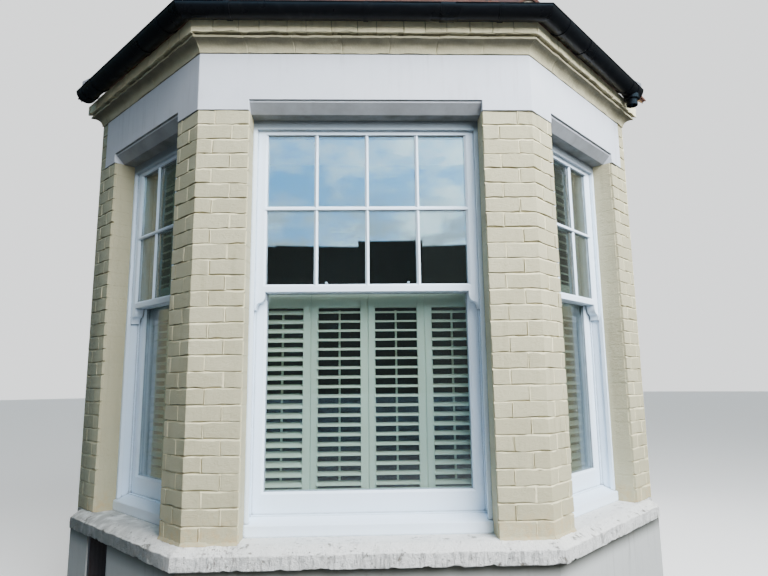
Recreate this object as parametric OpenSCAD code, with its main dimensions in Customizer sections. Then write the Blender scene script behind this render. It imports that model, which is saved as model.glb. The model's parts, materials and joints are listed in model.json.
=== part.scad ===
// Canted bay window of painted brickwork, ground storey, three sliding sash windows.
// Millimetres. X runs along the front, the front faces -Y, the house wall is on +Y, ground is z = 0.

/* [Plan] */
// Width of the front face between its two brick corners
front_w = 1672; // [1600:1:1900]
// Angle that each side face turns back from the front
cant = 45; // [40:1:50]
// Width of the front opening between the brick reveals
front_open = 1172; // [1100:1:1250]
// Width of each side opening between the brick reveals
side_open = 795; // [700:1:850]
// Brick pier on a side face, next to the front corner
near_pier = 205; // [190:1:260]
// Brick pier on a side face, next to the house wall
far_pier = 225; // [200:1:300]
// Thickness of the bay wall
wall_t = 270; // [260:1:300]
// How far the bay masonry runs back into the house wall
bond = 112; // [90:1:150]

/* [Heights] */
// Height of one brick course with its joint
course = 76; // [70:1:80]
// Courses in the wall below the stone sill
base_courses = 7; // [5:1:10]
// Courses from the stone sill to the lintel
window_courses = 27; // [24:1:28]
// Height of the rendered lintel band
lintel_h = 300; // [240:1:340]
// Top of the floor boards above the ground
floor_z = 230; // [150:1:300]
// Underside of the ceiling above the window head
ceiling_up = 90; // [60:1:120]

/* [Base wall and sill] */
// Thickness of the base wall, inner ledge included
base_t = 350; // [340:1:380]
// How far the rendered base stands out from the brick face
base_out = 24; // [10:1:40]
// Thickness of the stone sill under the brick piers
sill_t = 96; // [80:1:120]
// How far the sill nose stands out from the brick face
sill_out = 62; // [45:1:90]
// Fall of the sill top from the brick face to the nose
sill_fall = 28; // [10:1:40]
// Roundness of the sill arris
sill_round = 10; // [4:1:14]
// Width and depth of the drip groove under the sill
drip = 9; // [5:1:12]
// Length missing from each sill nose at the house wall
sill_short = 65; // [20:1:120]
// Cellar vent in the left base wall, clear width
vent_w = 270; // [150:1:300]
// Cellar vent, clear height
vent_h = 300; // [200:1:360]
// Cellar vent, distance of its middle from the house wall end of the face
vent_from_wall = 372; // [300:1:450]

/* [Lintel] */
// How far the lintel band stands out from the brick face
lintel_out = 4; // [1:1:12]
// Height of the stopped chamfer over each opening
chamfer_h = 46; // [30:1:60]
// Depth of the stopped chamfer
chamfer_d = 56; // [30:1:70]
// Small square quirk above the chamfer
quirk = 9; // [4:1:14]
// Brickwork left beside the lintel at the house wall end
lintel_stop = 84; // [50:1:120]

/* [Cornice] */
// Height of the cavetto
cavetto_h = 58; // [45:1:70]
// How far the cavetto reaches out
cavetto_out = 56; // [40:1:70]
// Height of the square fillet on the cavetto
fillet_h = 13; // [8:1:20]
// Height of the recessed joint over the fillet
joint_h = 9; // [5:1:14]
// Height of the plain top course
top_course_h = 66; // [50:1:80]
// How far the plain top course reaches out
top_course_out = 74; // [65:1:85]

/* [Gutter] */
// Outer radius of the half round gutter
gutter_r = 56; // [50:1:62]
// Wall of the gutter
gutter_t = 3; // [2:0.5:5]
// Radius of the bead on the gutter rim
bead_r = 4; // [3:0.5:6]
// Rim height above the top of the plain course
gutter_rise = 22; // [15:1:30]
// Outer radius of the outlet spigot
outlet_r = 34; // [30:0.5:36]
// Length of the outlet spigot below its round body
outlet_len = 40; // [30:1:80]
// From the house wall to the stop end of the left gutter, along its middle
gutter_gap_left = 170; // [120:1:300]
// From the house wall to the stop end of the right gutter, along its middle
gutter_gap_right = 235; // [120:1:300]

/* [Roof] */
// Pitch of the three slopes in degrees
pitch = 38; // [32:1:42]
// Exposed length of one tile course
gauge = 100; // [90:1:115]
// Thickness of a tile at its lower edge over the course below
tile_step = 13; // [9:1:18]
// Thickness of battens and tile under the steps
tile_bed = 34; // [28:1:45]
// How far the tiles reach over the gutter from the plain course
tile_over = 36; // [25:1:50]
// Radius of the half round hip tiles
hip_r = 85; // [75:1:100]
// Length of one hip tile
hip_len = 300; // [250:1:350]
// Thickness of the lead flashing
lead_t = 4; // [3:1:6]
// Height of the flashing on the house wall
lead_up = 110; // [80:1:150]
// Rafter width
rafter_w = 50; // [40:1:60]
// Rafter depth
rafter_d = 95; // [80:1:110]

/* [Box frames] */
// Depth of the brick reveal in front of each box frame
reveal = 122; // [105:1:130]
// Part of the box frame hidden behind the brick on each side
check = 45; // [30:1:50]
// Thickness of the outer lining
lining = 20; // [16:1:24]
// Outer lining seen inside the brick opening on each side
lining_show = 23; // [18:1:30]
// Outer lining standing past the pulley stile
lining_stop = 12; // [8:1:16]
// Thickness of the pulley stiles
stile_board = 22; // [18:1:28]
// Outer lining seen below the window head
head_show = 47; // [35:1:60]
// Height of the timber sill nose
nose_h = 50; // [40:1:60]
// Height of the timber sill where the sash closes on it
timber_sill_h = 82; // [75:1:95]
// Timber sill nose in front of the outer lining
nose_out = 14; // [8:1:20]

/* [Sashes] */
// Thickness of each sash
sash_t = 50; // [45:1:55]
// Width of the parting bead between the sashes
parting = 10; // [8:1:12]
// Play on each side of a sash
sash_play = 2; // [1:0.5:3]
// Width of the sash stiles
stile_w = 62; // [55:1:70]
// Height of the bottom rail
bottom_rail = 103; // [80:1:120]
// Height of the top rail
top_rail = 31; // [30:1:60]
// Height of each meeting rail
meeting_rail = 38; // [34:1:45]
// Height of the meeting rail above the window sill stone
meeting_z = 1155; // [1100:1:1200]
// Face width of a glazing bar
bar_w = 20; // [16:1:26]
// Bevel around each pane
bevel = 11; // [6:1:14]
// Length of the sash horns
horn = 89; // [70:1:100]
// Lights across the front upper sash
front_lights = 4; // [2:1:6]
// Lights across each side upper sash
side_lights = 3; // [2:1:4]
// Thickness of one pane
pane_t = 4; // [3:1:6]
// Gap between the two panes of a sealed unit
pane_gap = 12; // [8:1:16]

/* [Window board and shutters] */
// Thickness of the window board
board_t = 22; // [18:1:28]
// Window board in front of the inner ledge
board_nose = 24; // [15:1:40]
// Thickness of a shutter panel
panel_t = 28; // [24:1:32]
// Width of the shutter stiles
panel_stile = 38; // [32:1:45]
// Height of the shutter rails
panel_rail = 98; // [80:1:110]
// Top of the lower tier of shutters above the window sill stone
tier_z = 1190; // [1150:1:1250]
// Distance between louvre blades
blade_pitch = 47.5; // [45:0.5:60]
// Width of a louvre blade
blade_w = 54; // [50:1:58]
// Thickness of a louvre blade
blade_t = 9; // [8:0.5:11]
// Tilt of the blades in the first to fourth front panel, street edge down, in degrees
front_tilts = [27, 15, 12, 18]; // [5:1:40]
// Tilt of the blades behind the side windows
side_tilt = 20; // [5:1:40]
// Width of the tilt rod
rod_w = 10; // [8:1:14]
// Panels across each side opening
side_panels = 3; // [2:1:3]

/* [Hidden] */
$fn = 48;
// Longer than the whole bay, for cuts and runs
big = 4000;
// A hair of overlap for cuts
tiny = 0.01;
// Room between pieces that stand or hang side by side
seat = 0.3;
half = cant / 2;
side_w = near_pier + side_open + far_pier;
proj = side_w * sin(cant);
z_base = base_courses * course;
z_sill = z_base + sill_t;
z_head = z_sill + window_courses * course;
z_lintel = z_head + lintel_h;
z_cornice = z_lintel + cavetto_h + fillet_h + joint_h + top_course_h;
z_rim = z_cornice + gutter_rise;
gutter_o = top_course_out + gutter_r + 1;
nose_reach = gutter_o + gutter_r + bead_r;
// The origin lies under the middle of the whole depth, gutter rim to bonded ends.
wall_y = (proj + nose_reach - bond) / 2;
front_y = wall_y - proj;
back_y = wall_y + bond;
side_mid = (far_pier - near_pier) / 2;
face_x = front_w / 2 + side_w / 2 * cos(cant);
face_y = front_y + side_w / 2 * sin(cant);
upper_y = reveal + lining;
lower_y = upper_y + sash_t + parting;
z_board = z_sill + timber_sill_h;
z_ceiling = z_head + ceiling_up;
eave_o = top_course_out + tile_over;
eave_rise = 6;
z_eave = z_rim + eave_rise;
slope_len = (proj + eave_o) / cos(pitch);

// Points of the plan

// Corner between front and left face, moved out by o
function arris(o) = [-(front_w / 2 + o * tan(half)), front_y - o];
// Point of the left face line, moved out by o, in the plane of the house wall
function at_wall(o) = [-(front_w / 2 + side_w * cos(cant) + o / sin(cant)), wall_y];
// Point of the left face line, moved out by o, in the back plane of the bonded ends
function at_back(o) = [-(front_w / 2 + (proj + bond) / tan(cant) + o / sin(cant)), back_y];
// Point given in the frame of the left face: x along it, y inward
function on_left(x, y) = [
  -face_x + x * cos(cant) + y * sin(cant),
  face_y - x * sin(cant) + y * cos(cant)
];
function flip(p) = [-p[0], p[1]];

jamb_far = side_mid - side_open / 2;
jamb_near = side_mid + side_open / 2;
// Inner corner of the bonded end, behind the far edge of the side box frame
bond_in = on_left(jamb_far - check, wall_t);

// Frames of the three faces

module on_front_face() {
  translate([0, front_y, 0]) children();
}

module on_left_face() {
  translate([-face_x, face_y, 0]) rotate([0, 0, -cant]) children();
}

module mirrored() {
  mirror([1, 0, 0]) children();
}

// Keeps what lies between the two mitre planes of the front
module front_sector() {
  intersection() {
    linear_extrude(2 * big)
      polygon([arris(big / 8), flip(arris(big / 8)), flip(arris(-proj)), arris(-proj)]);
    children();
  }
}

// Keeps what lies between the left mitre plane and the house wall
module left_sector() {
  intersection() {
    linear_extrude(2 * big)
      polygon([arris(big / 8), arris(-proj), [-big, wall_y], [-big, front_y - big / 8]]);
    children();
  }
}

// A profile drawn as [outward, up], run along the front between the mitres
module run_front(points) {
  front_sector()
    on_front_face()
      translate([-big / 2, 0, 0])
        rotate([90, 0, 90])
          linear_extrude(big)
            polygon([for (p = points) [-p[0], p[1]]]);
}

// The same profile along the left face, up to the house wall
module run_left(points) {
  left_sector()
    on_left_face()
      translate([-big / 2, 0, 0])
        rotate([90, 0, 90])
          linear_extrude(big)
            polygon([for (p = points) [-p[0], p[1]]]);
}

module front_strip(inner, outer) {
  polygon([arris(-inner), arris(outer), flip(arris(outer)), flip(arris(-inner))]);
}

// Left strip with its bonded end
module left_strip(inner, outer) {
  polygon([
    arris(-inner),
    arris(outer),
    at_wall(outer),
    [at_wall(outer)[0], back_y],
    [bond_in[0], back_y],
    bond_in
  ]);
}

// Bonded end alone, from the outer face at the house wall to the back plane
module bonded_end() {
  polygon([
    at_wall(0),
    [at_wall(0)[0], back_y],
    [bond_in[0], back_y],
    bond_in,
    on_left(-side_w / 2 + wall_t / tan(cant), wall_t)
  ]);
}

// Base wall

module base_wall_front() {
  color([0.78, 0.79, 0.79]) {
    linear_extrude(z_base) front_strip(wall_t, base_out);
    linear_extrude(z_board - board_t) front_inner_ledge();
  }
}

module front_inner_ledge() {
  polygon([arris(-base_t), arris(-wall_t), flip(arris(-wall_t)), flip(arris(-base_t))]);
}

module left_inner_ledge() {
  polygon([arris(-base_t), arris(-wall_t), bond_in, [bond_in[0], back_y], at_back(-base_t)]);
}

module base_side() {
  linear_extrude(z_base) left_strip(wall_t, base_out);
  linear_extrude(z_board - board_t) left_inner_ledge();
}

vent_x = -side_w / 2 + vent_from_wall - vent_w / 2;
vent_board_t = 22;
// Front edge of the lining behind the rendered face
vent_lining_in = 8;
vent_lining_d = base_out - vent_lining_in + wall_t / 2;

module base_wall_left() {
  color([0.76, 0.77, 0.77])
    difference() {
      base_side();
      on_left_face()
        translate([vent_x, -big, z_base - vent_h])
          cube([vent_w, big + wall_t / 2, vent_h + tiny]);
    }
}

module base_wall_right() {
  color([0.76, 0.77, 0.77]) mirrored() base_side();
}

// Dark timber lining with a board across its back
module vent_lining() {
  color([0.25, 0.2, 0.18])
    on_left_face()
      translate([vent_x, vent_lining_in - base_out, z_base - vent_h])
        difference() {
          cube([vent_w, vent_lining_d, vent_h]);
          translate([vent_board_t, -tiny, vent_board_t])
            cube([
              vent_w - 2 * vent_board_t,
              vent_lining_d - vent_board_t + tiny,
              vent_h - 2 * vent_board_t
            ]);
        }
}

// Stone sill with weathered top, rounded arris and drip groove

// Distance of the drip groove from the nose
drip_in = 30;
sill_arc = [
  for (a = [0:22.5:90])
    [sill_out - sill_round * (1 - cos(a)), -sill_fall - sill_round * (1 - sin(a))]
];
sill_profile = concat(
  [
    [-wall_t, -sill_t],
    [sill_out - drip_in, -sill_t],
    [sill_out - drip_in, -sill_t + drip],
    [sill_out - drip_in + drip, -sill_t + drip],
    [sill_out - drip_in + drip, -sill_t],
    [sill_out, -sill_t]
  ],
  sill_arc,
  [[0, 0], [-wall_t, 0]]
);
sill_points = [for (p = sill_profile) [p[0], p[1] + z_sill]];

module stone_sill_front() {
  color([0.83, 0.82, 0.78]) run_front(sill_points);
}

module sill_side() {
  difference() {
    run_left(sill_points);
    // the nose stops short of the house wall
    on_left_face()
      translate([-side_w / 2 - big + sill_short, -big, z_base - 1])
        cube([big, big, sill_t + 2]);
  }
  translate([0, 0, z_base]) linear_extrude(sill_t) bonded_end();
}

module stone_sill_left() {
  color([0.81, 0.8, 0.76]) sill_side();
}

module stone_sill_right() {
  color([0.81, 0.8, 0.76]) mirrored() sill_side();
}

// Brick piers

module near_pier_plan() {
  polygon([
    [-front_open / 2, front_y],
    arris(0),
    on_left(jamb_near, 0),
    on_left(jamb_near, reveal),
    on_left(jamb_near + check, reveal),
    on_left(jamb_near + check, wall_t),
    arris(-wall_t),
    [-front_open / 2 - check, front_y + wall_t],
    [-front_open / 2 - check, front_y + reveal],
    [-front_open / 2, front_y + reveal]
  ]);
}

module far_pier_plan() {
  polygon([
    on_left(jamb_far, 0),
    on_left(jamb_far, reveal),
    on_left(jamb_far - check, reveal),
    bond_in,
    [bond_in[0], back_y],
    [at_wall(0)[0], back_y],
    at_wall(0)
  ]);
}

// Cuts a plan at the end of the lintel band: what is on the house side, or the rest
module lintel_stop_cut() {
  translate([-face_x, face_y])
    rotate(-cant)
      translate([-side_w / 2 - big + lintel_stop, -big / 2])
        square([big, big]);
}

module corner_pier_left() {
  color([0.85, 0.81, 0.7])
    translate([0, 0, z_sill])
      linear_extrude(z_head - z_sill)
        near_pier_plan();
}

module corner_pier_right() {
  color([0.85, 0.81, 0.7])
    mirrored()
      translate([0, 0, z_sill])
        linear_extrude(z_head - z_sill)
          near_pier_plan();
}

module wall_pier() {
  translate([0, 0, z_sill])
    linear_extrude(z_head - z_sill)
      far_pier_plan();
  translate([0, 0, z_head])
    linear_extrude(lintel_h)
      intersection() {
        left_strip(wall_t, 0);
        lintel_stop_cut();
      }
}

module wall_pier_left() {
  color([0.85, 0.81, 0.7]) wall_pier();
}

module wall_pier_right() {
  color([0.85, 0.81, 0.7]) mirrored() wall_pier();
}

// Lintel band with a stopped chamfer over each opening

module chamfer_cut(w) {
  translate([-w / 2, 0, z_head])
    rotate([90, 0, 90])
      linear_extrude(w)
        polygon([
          [-lintel_out - 1, -1],
          [-lintel_out - 1, chamfer_h + quirk],
          [quirk, chamfer_h + quirk],
          [quirk, chamfer_h],
          [chamfer_d, 0],
          [chamfer_d, -1]
        ]);
}

module lintel_front() {
  color([0.82, 0.84, 0.85])
    difference() {
      translate([0, 0, z_head]) linear_extrude(lintel_h) front_strip(wall_t, lintel_out);
      on_front_face() chamfer_cut(front_open);
    }
}

module lintel_side() {
  difference() {
    translate([0, 0, z_head])
      linear_extrude(lintel_h)
        difference() {
          left_strip(wall_t, lintel_out);
          lintel_stop_cut();
        }
    on_left_face() translate([side_mid, 0, 0]) chamfer_cut(side_open);
  }
}

module lintel_left() {
  color([0.8, 0.82, 0.83]) lintel_side();
}

module lintel_right() {
  color([0.8, 0.82, 0.83]) mirrored() lintel_side();
}

// Cornice: cavetto, fillet, recessed joint and plain course

// How far the fillet stands past the cavetto, and the joint behind it
fillet_out = 3;
joint_in = 8;
z_fillet = z_lintel + cavetto_h;
z_joint = z_fillet + fillet_h;
cavetto_arc = [
  for (a = [0:10:90])
    [cavetto_out - (cavetto_out - lintel_out) * cos(a), z_lintel + cavetto_h * sin(a)]
];
cornice_points = concat(
  [[-wall_t, z_lintel]],
  cavetto_arc,
  [
    [cavetto_out + fillet_out, z_fillet],
    [cavetto_out + fillet_out, z_joint],
    [cavetto_out - joint_in, z_joint],
    [cavetto_out - joint_in, z_joint + joint_h],
    [top_course_out, z_joint + joint_h],
    [top_course_out, z_cornice],
    [-wall_t, z_cornice]
  ]
);

module cornice_front() {
  color([0.84, 0.81, 0.71]) run_front(cornice_points);
}

module cornice_side() {
  run_left(cornice_points);
  translate([0, 0, z_lintel]) linear_extrude(z_cornice - z_lintel) bonded_end();
}

module cornice_left() {
  color([0.84, 0.81, 0.71]) cornice_side();
}

module cornice_right() {
  color([0.84, 0.81, 0.71]) mirrored() cornice_side();
}

// Half round gutter with beaded front rim

// Cut shape above a level, for everything that is half round
module above(level) {
  translate([-2 * gutter_r, level]) square([4 * gutter_r, 2 * gutter_r]);
}

module gutter_section() {
  difference() {
    union() {
      circle(gutter_r);
      translate([-gutter_r, 0]) circle(bead_r);
    }
    circle(gutter_r - gutter_t);
    above(0);
  }
}

// A section drawn round the middle of the gutter, run along a face from x over a length
module along_gutter(x, length) {
  translate([x, -gutter_o, z_rim])
    rotate([90, 0, 90])
      linear_extrude(length)
        children();
}

module gutter_line() {
  along_gutter(-big / 2, big) gutter_section();
}

// Socket round the joint between two lengths of gutter
collar_w = 70;
collar_t = 4;
collar_down = 2;

module collar(x) {
  along_gutter(x - collar_w / 2, collar_w)
    difference() {
      circle(gutter_r + collar_t);
      circle(gutter_r - tiny);
      above(-collar_down);
    }
}

// Places of the sockets as shares of a face, from its middle
front_collar = 0.24;
side_collar = 0.18;

module gutter_front() {
  color([0.06, 0.06, 0.07]) {
    front_sector() on_front_face() gutter_line();
    on_front_face() collar(front_w * front_collar);
  }
}

// Where the middle of a side gutter would meet the house wall
gutter_wall_x = -side_w / 2 - gutter_o / tan(cant);

// Side run up to a square stop end, which its own socket holds
module gutter_side(gap) {
  end = gutter_wall_x + gap;
  left_sector() on_left_face() along_gutter(end, big) gutter_section();
  on_left_face() {
    collar(side_w * side_collar);
    collar(end + collar_w / 2);
    along_gutter(end, gutter_t)
      difference() {
        circle(gutter_r + collar_t);
        above(-collar_down);
      }
  }
}

module gutter_left() {
  color([0.06, 0.06, 0.07]) gutter_side(gutter_gap_left);
}

// Outlet in the right run, by its stop end: a round body under the gutter, with the spigot below
outlet_in = 52;
outlet_body_r = 46;
outlet_body_down = 12;
outlet_x = gutter_wall_x + gutter_gap_right + outlet_in;
outlet_z = z_rim - gutter_r - outlet_body_down - outlet_len;

module outlet() {
  difference() {
    translate([outlet_x, -gutter_o, outlet_z]) {
      cylinder(h = outlet_len, r = outlet_r);
      translate([0, 0, outlet_len]) cylinder(h = outlet_body_down + gutter_r / 2, r = outlet_body_r);
    }
    along_gutter(-big / 2, big) circle(gutter_r - gutter_t);
  }
}

module gutter_right() {
  color([0.06, 0.06, 0.07])
    mirrored()
      difference() {
        union() {
          gutter_side(gutter_gap_right);
          on_left_face() outlet();
        }
        on_left_face()
          translate([outlet_x, -gutter_o, outlet_z - 1])
            cylinder(h = outlet_len + gutter_r, r = outlet_r - gutter_t);
      }
}

// Gutter brackets, screwed to the plain course
bracket_w = 24;
bracket_t = 3.5;
bracket_down = 4;
// Shares of the gutter radius: where a bracket's back plate begins, and how far down it reaches
bracket_back = 0.9;
bracket_foot = 0.5;

module bracket(x) {
  along_gutter(x - bracket_w / 2, bracket_w)
    difference() {
      union() {
        circle(gutter_r + bracket_t);
        translate([0, -bracket_foot * gutter_r])
          square([gutter_o - top_course_out, gutter_r]);
      }
      circle(gutter_r);
      translate([-2 * gutter_r, -bracket_down])
        square([(2 + bracket_back) * gutter_r, 2 * gutter_r]);
      above(0);
    }
}

module gutter_brackets() {
  color([0.07, 0.07, 0.08]) {
    on_front_face()
      for (share = [-0.4, 0, 0.4]) bracket(share * front_w);
    for (k = [0, 1])
      mirror([k, 0, 0])
        on_left_face()
          for (share = [-0.3, 0.4]) bracket(share * side_w);
  }
}

// Roof slopes: stepped tile courses on battens

tile_courses = ceil(slope_len / gauge);
tile_profile = concat(
  [[0, 0]],
  [for (k = [0:tile_courses - 1]) for (e = [0, 1]) [(k + e) * gauge, tile_bed - tile_step * e]],
  [[tile_courses * gauge, 0]]
);

module slope_slab(points) {
  translate([-big / 2, -eave_o, z_eave])
    rotate([pitch, 0, 0])
      rotate([90, 0, 90])
        linear_extrude(big)
          polygon(points);
}

// Cuts the roof just in front of the house wall, where the flashing stands
module before_flashing() {
  intersection() {
    translate([-big, front_y - big / 2, 0]) cube([2 * big, proj + big / 2 - lead_t, 2 * big]);
    children();
  }
}

module roof_slope_front() {
  color([0.42, 0.25, 0.2]) before_flashing() front_sector() on_front_face() slope_slab(tile_profile);
}

module roof_slope_left() {
  color([0.4, 0.24, 0.19]) before_flashing() left_sector() on_left_face() slope_slab(tile_profile);
}

module roof_slope_right() {
  mirrored() roof_slope_left();
}

// Runs one profile over all three slopes, mitred at the hips
module on_all_slopes(points) {
  front_sector() on_front_face() slope_slab(points);
  for (k = [0, 1])
    mirror([k, 0, 0])
      left_sector() on_left_face() slope_slab(points);
}

// Reach of the cuts above and below the slopes
clear = 300;

// Everything under the top of the tiles, to trim what lies on them
module roof_body() {
  on_all_slopes(concat(tile_profile, [[tile_courses * gauge, -clear], [0, -clear]]));
}

// Everything over the underside of the slopes, to trim the timbers
module over_timbers() {
  on_all_slopes([[0, 0], [0, clear], [slope_len + clear, clear], [slope_len + clear, 0]]);
}

// Hip line in plan runs along the mitre
hip_rise = tan(pitch) * cos(half);
hip_pitch = atan(hip_rise);
hip_run = (proj + eave_o) / cos(half);
hip_count = floor(hip_run / cos(hip_pitch) / hip_len);
hip_start = hip_run / cos(hip_pitch) - hip_count * hip_len;
hip_rim = 45;
hip_rim_out = 6;
// Share of its radius by which a hip tile is sunk in its bedding
hip_sunk = 0.52;

// A bedded run of half round tiles, each with a raised rim at its lower end
module hip_run_solid() {
  translate([arris(eave_o)[0], arris(eave_o)[1], z_eave + tile_bed - tile_step])
    rotate([0, 0, 90 - half])
      rotate([0, -hip_pitch, 0])
        translate([hip_start, 0, -hip_r * hip_sunk])
          rotate([0, 90, 0]) {
            cylinder(h = hip_count * hip_len + hip_r * 2, r = hip_r);
            for (k = [0:hip_count - 1])
              translate([0, 0, k * hip_len]) cylinder(h = hip_rim, r = hip_r + hip_rim_out);
          }
}

module hip_tiles_left() {
  color([0.38, 0.22, 0.18])
    difference() {
      before_flashing() hip_run_solid();
      roof_body();
    }
}

module hip_tiles_right() {
  mirrored() hip_tiles_left();
}

// Lead flashing: a plate along the house wall behind the tiles, and an apron over the front slope

hip_top = arris(-proj);
z_wall_low = z_eave;
z_wall_high = z_eave + (eave_o + proj) * tan(pitch);
apron_down = 150;
// Half the length of the apron, short of the hip tiles
apron_half = -hip_top[0] - hip_r * 1.2;

module lead_flashing() {
  color([0.45, 0.47, 0.5]) {
    translate([0, wall_y, 0])
      rotate([90, 0, 0])
        linear_extrude(lead_t)
          polygon([
            [at_wall(eave_o)[0], z_wall_low],
            [at_wall(eave_o)[0], z_wall_low + lead_up + tile_bed],
            [hip_top[0], z_wall_high + lead_up + tile_bed],
            [-hip_top[0], z_wall_high + lead_up + tile_bed],
            [-at_wall(eave_o)[0], z_wall_low + lead_up + tile_bed],
            [-at_wall(eave_o)[0], z_wall_low],
            [-hip_top[0], z_wall_high],
            [hip_top[0], z_wall_high]
          ]);
    intersection() {
      on_front_face()
        slope_slab([
          [slope_len - apron_down, tile_bed],
          [slope_len - apron_down, tile_bed + lead_t],
          [slope_len + lead_up, tile_bed + lead_t],
          [slope_len + lead_up, tile_bed]
        ]);
      translate([-apron_half, front_y, 0])
        cube([2 * apron_half, proj - lead_t / 2, 2 * big]);
    }
  }
}

// Roof timbers: wall plate, rafters, hip rafters and ledger

plate_in = 120;
plate_out = 20;
plate_h = 50;
ledger_h = 150;
// Foot of the rafters behind the face of the plain course
rafter_back = 40;
front_rafters = [-570, -190, 190, 570];
side_rafters = [-180, 200];
hip_rafter_from = 190;
hip_rafter_d = 125;

module wall_plate() {
  translate([0, 0, z_cornice]) {
    linear_extrude(plate_h) front_strip(plate_in, -plate_out);
    for (k = [0, 1])
      mirror([k, 0, 0])
        linear_extrude(plate_h)
          polygon([arris(-plate_in), arris(-plate_out), at_wall(-plate_out), at_wall(-plate_in)]);
  }
}

module rafter(x) {
  translate([x - rafter_w / 2, -eave_o, z_eave])
    rotate([pitch, 0, 0])
      translate([0, (eave_o - top_course_out) / cos(pitch) + rafter_back, -rafter_d])
        cube([rafter_w, big / 2, rafter_d]);
}

module hip_rafter() {
  translate([arris(eave_o)[0], arris(eave_o)[1], z_eave])
    rotate([0, 0, 90 - half])
      rotate([0, -hip_pitch, 0])
        translate([hip_rafter_from, -rafter_w / 2, -hip_rafter_d])
          cube([big / 3, rafter_w, hip_rafter_d]);
}

module ledger() {
  translate([hip_top[0], wall_y - rafter_w, z_wall_high - ledger_h - rafter_w])
    cube([-2 * hip_top[0], rafter_w, ledger_h]);
}

// Everything below the top of the cornice, which the timbers stand on
module cornice_space() {
  translate([-big / 2, front_y - big / 2, 0]) cube([big, big, z_cornice]);
}

module roof_timbers() {
  color([0.7, 0.57, 0.42])
    difference() {
      union() {
        front_sector()
          on_front_face()
            for (x = front_rafters) rafter(x);
        for (k = [0, 1])
          mirror([k, 0, 0]) {
            left_sector()
              on_left_face()
                for (x = side_rafters) rafter(x);
            hip_rafter();
          }
        ledger();
        wall_plate();
      }
      over_timbers();
      cornice_space();
      translate([-big, wall_y, 0]) cube([2 * big, big, 2 * big]);
    }
}

// Ceiling and floor inside the bay

module room_plan() {
  polygon([
    arris(-wall_t),
    flip(arris(-wall_t)),
    flip(bond_in),
    [-bond_in[0], back_y],
    [bond_in[0], back_y],
    bond_in
  ]);
}

// The same between the inner faces of the base wall
module base_room_plan() {
  polygon([arris(-base_t), flip(arris(-base_t)), flip(at_back(-base_t)), at_back(-base_t)]);
}

ceiling_t = 16;
ceiling_joist = [44, 95];
floor_t = 22;
floor_joist = [50, 120];
joist_spacing = 400;
board_w = 150;
board_gap = 2;
gap_depth = 3;

module ceiling() {
  color([0.9, 0.9, 0.88])
    translate([0, 0, z_ceiling])
      linear_extrude(ceiling_t)
        room_plan();
}

// Joists from front to back on both sides of the middle, and a trimmer across their back ends
module joists(section, count, z) {
  for (k = [-count:1:count])
    translate([k * joist_spacing - section[0] / 2, front_y, z])
      cube([section[0], back_y - front_y, section[1]]);
  translate([-big / 2, back_y - section[0], z])
    cube([big, section[0], section[1]]);
}

module ceiling_joists() {
  color([0.7, 0.57, 0.42])
    intersection() {
      joists(ceiling_joist, 2, z_ceiling + ceiling_t);
      linear_extrude(big) room_plan();
    }
}

module floor_boards() {
  color([0.62, 0.47, 0.32])
    difference() {
      translate([0, 0, floor_z - floor_t]) linear_extrude(floor_t) base_room_plan();
      for (k = [-6:1:6])
        translate([k * board_w - board_gap / 2, front_y, floor_z - gap_depth])
          cube([board_gap, proj + 2 * bond, gap_depth + 1]);
    }
}

module floor_joists() {
  color([0.6, 0.47, 0.34])
    intersection() {
      joists(floor_joist, 2, floor_z - floor_t - floor_joist[1]);
      linear_extrude(floor_z) base_room_plan();
    }
}

// Window board all round, on the inner ledge

module board_plan() {
  difference() {
    room_plan();
    polygon([
      arris(-base_t - board_nose),
      flip(arris(-base_t - board_nose)),
      flip(at_back(-base_t - board_nose)),
      at_back(-base_t - board_nose)
    ]);
  }
}

module window_board() {
  color([0.9, 0.9, 0.89])
    translate([0, 0, z_board - board_t])
      linear_extrude(board_t)
        board_plan();
}

// Box frames

// Rounded nose of the timber sill, and the step on which the sash closes
nose_ease = 4;
sill_step = 6;
// Timber sill profile as [depth, height]
timber_sill_profile = [
  [reveal - nose_out, 0],
  [reveal - nose_out, nose_h],
  [reveal - nose_out + nose_ease, nose_h + nose_ease],
  [upper_y + sash_t - sill_step, timber_sill_h - sill_step],
  [upper_y + sash_t - sill_step, timber_sill_h],
  [wall_t, timber_sill_h],
  [wall_t, 0]
];

module timber_sill(open) {
  intersection() {
    translate([-open / 2 - check, 0, z_sill])
      rotate([90, 0, 90])
        linear_extrude(open + 2 * check)
          polygon(timber_sill_profile);
    // the nose fits between the reveals
    union() {
      translate([-open / 2, 0, z_sill]) cube([open, reveal, big]);
      translate([-open / 2 - check, reveal, z_sill]) cube([open + 2 * check, wall_t, big]);
    }
  }
}

// Linings start in the slope of the timber sill
lining_foot = 60;
back_board = 10;

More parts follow.
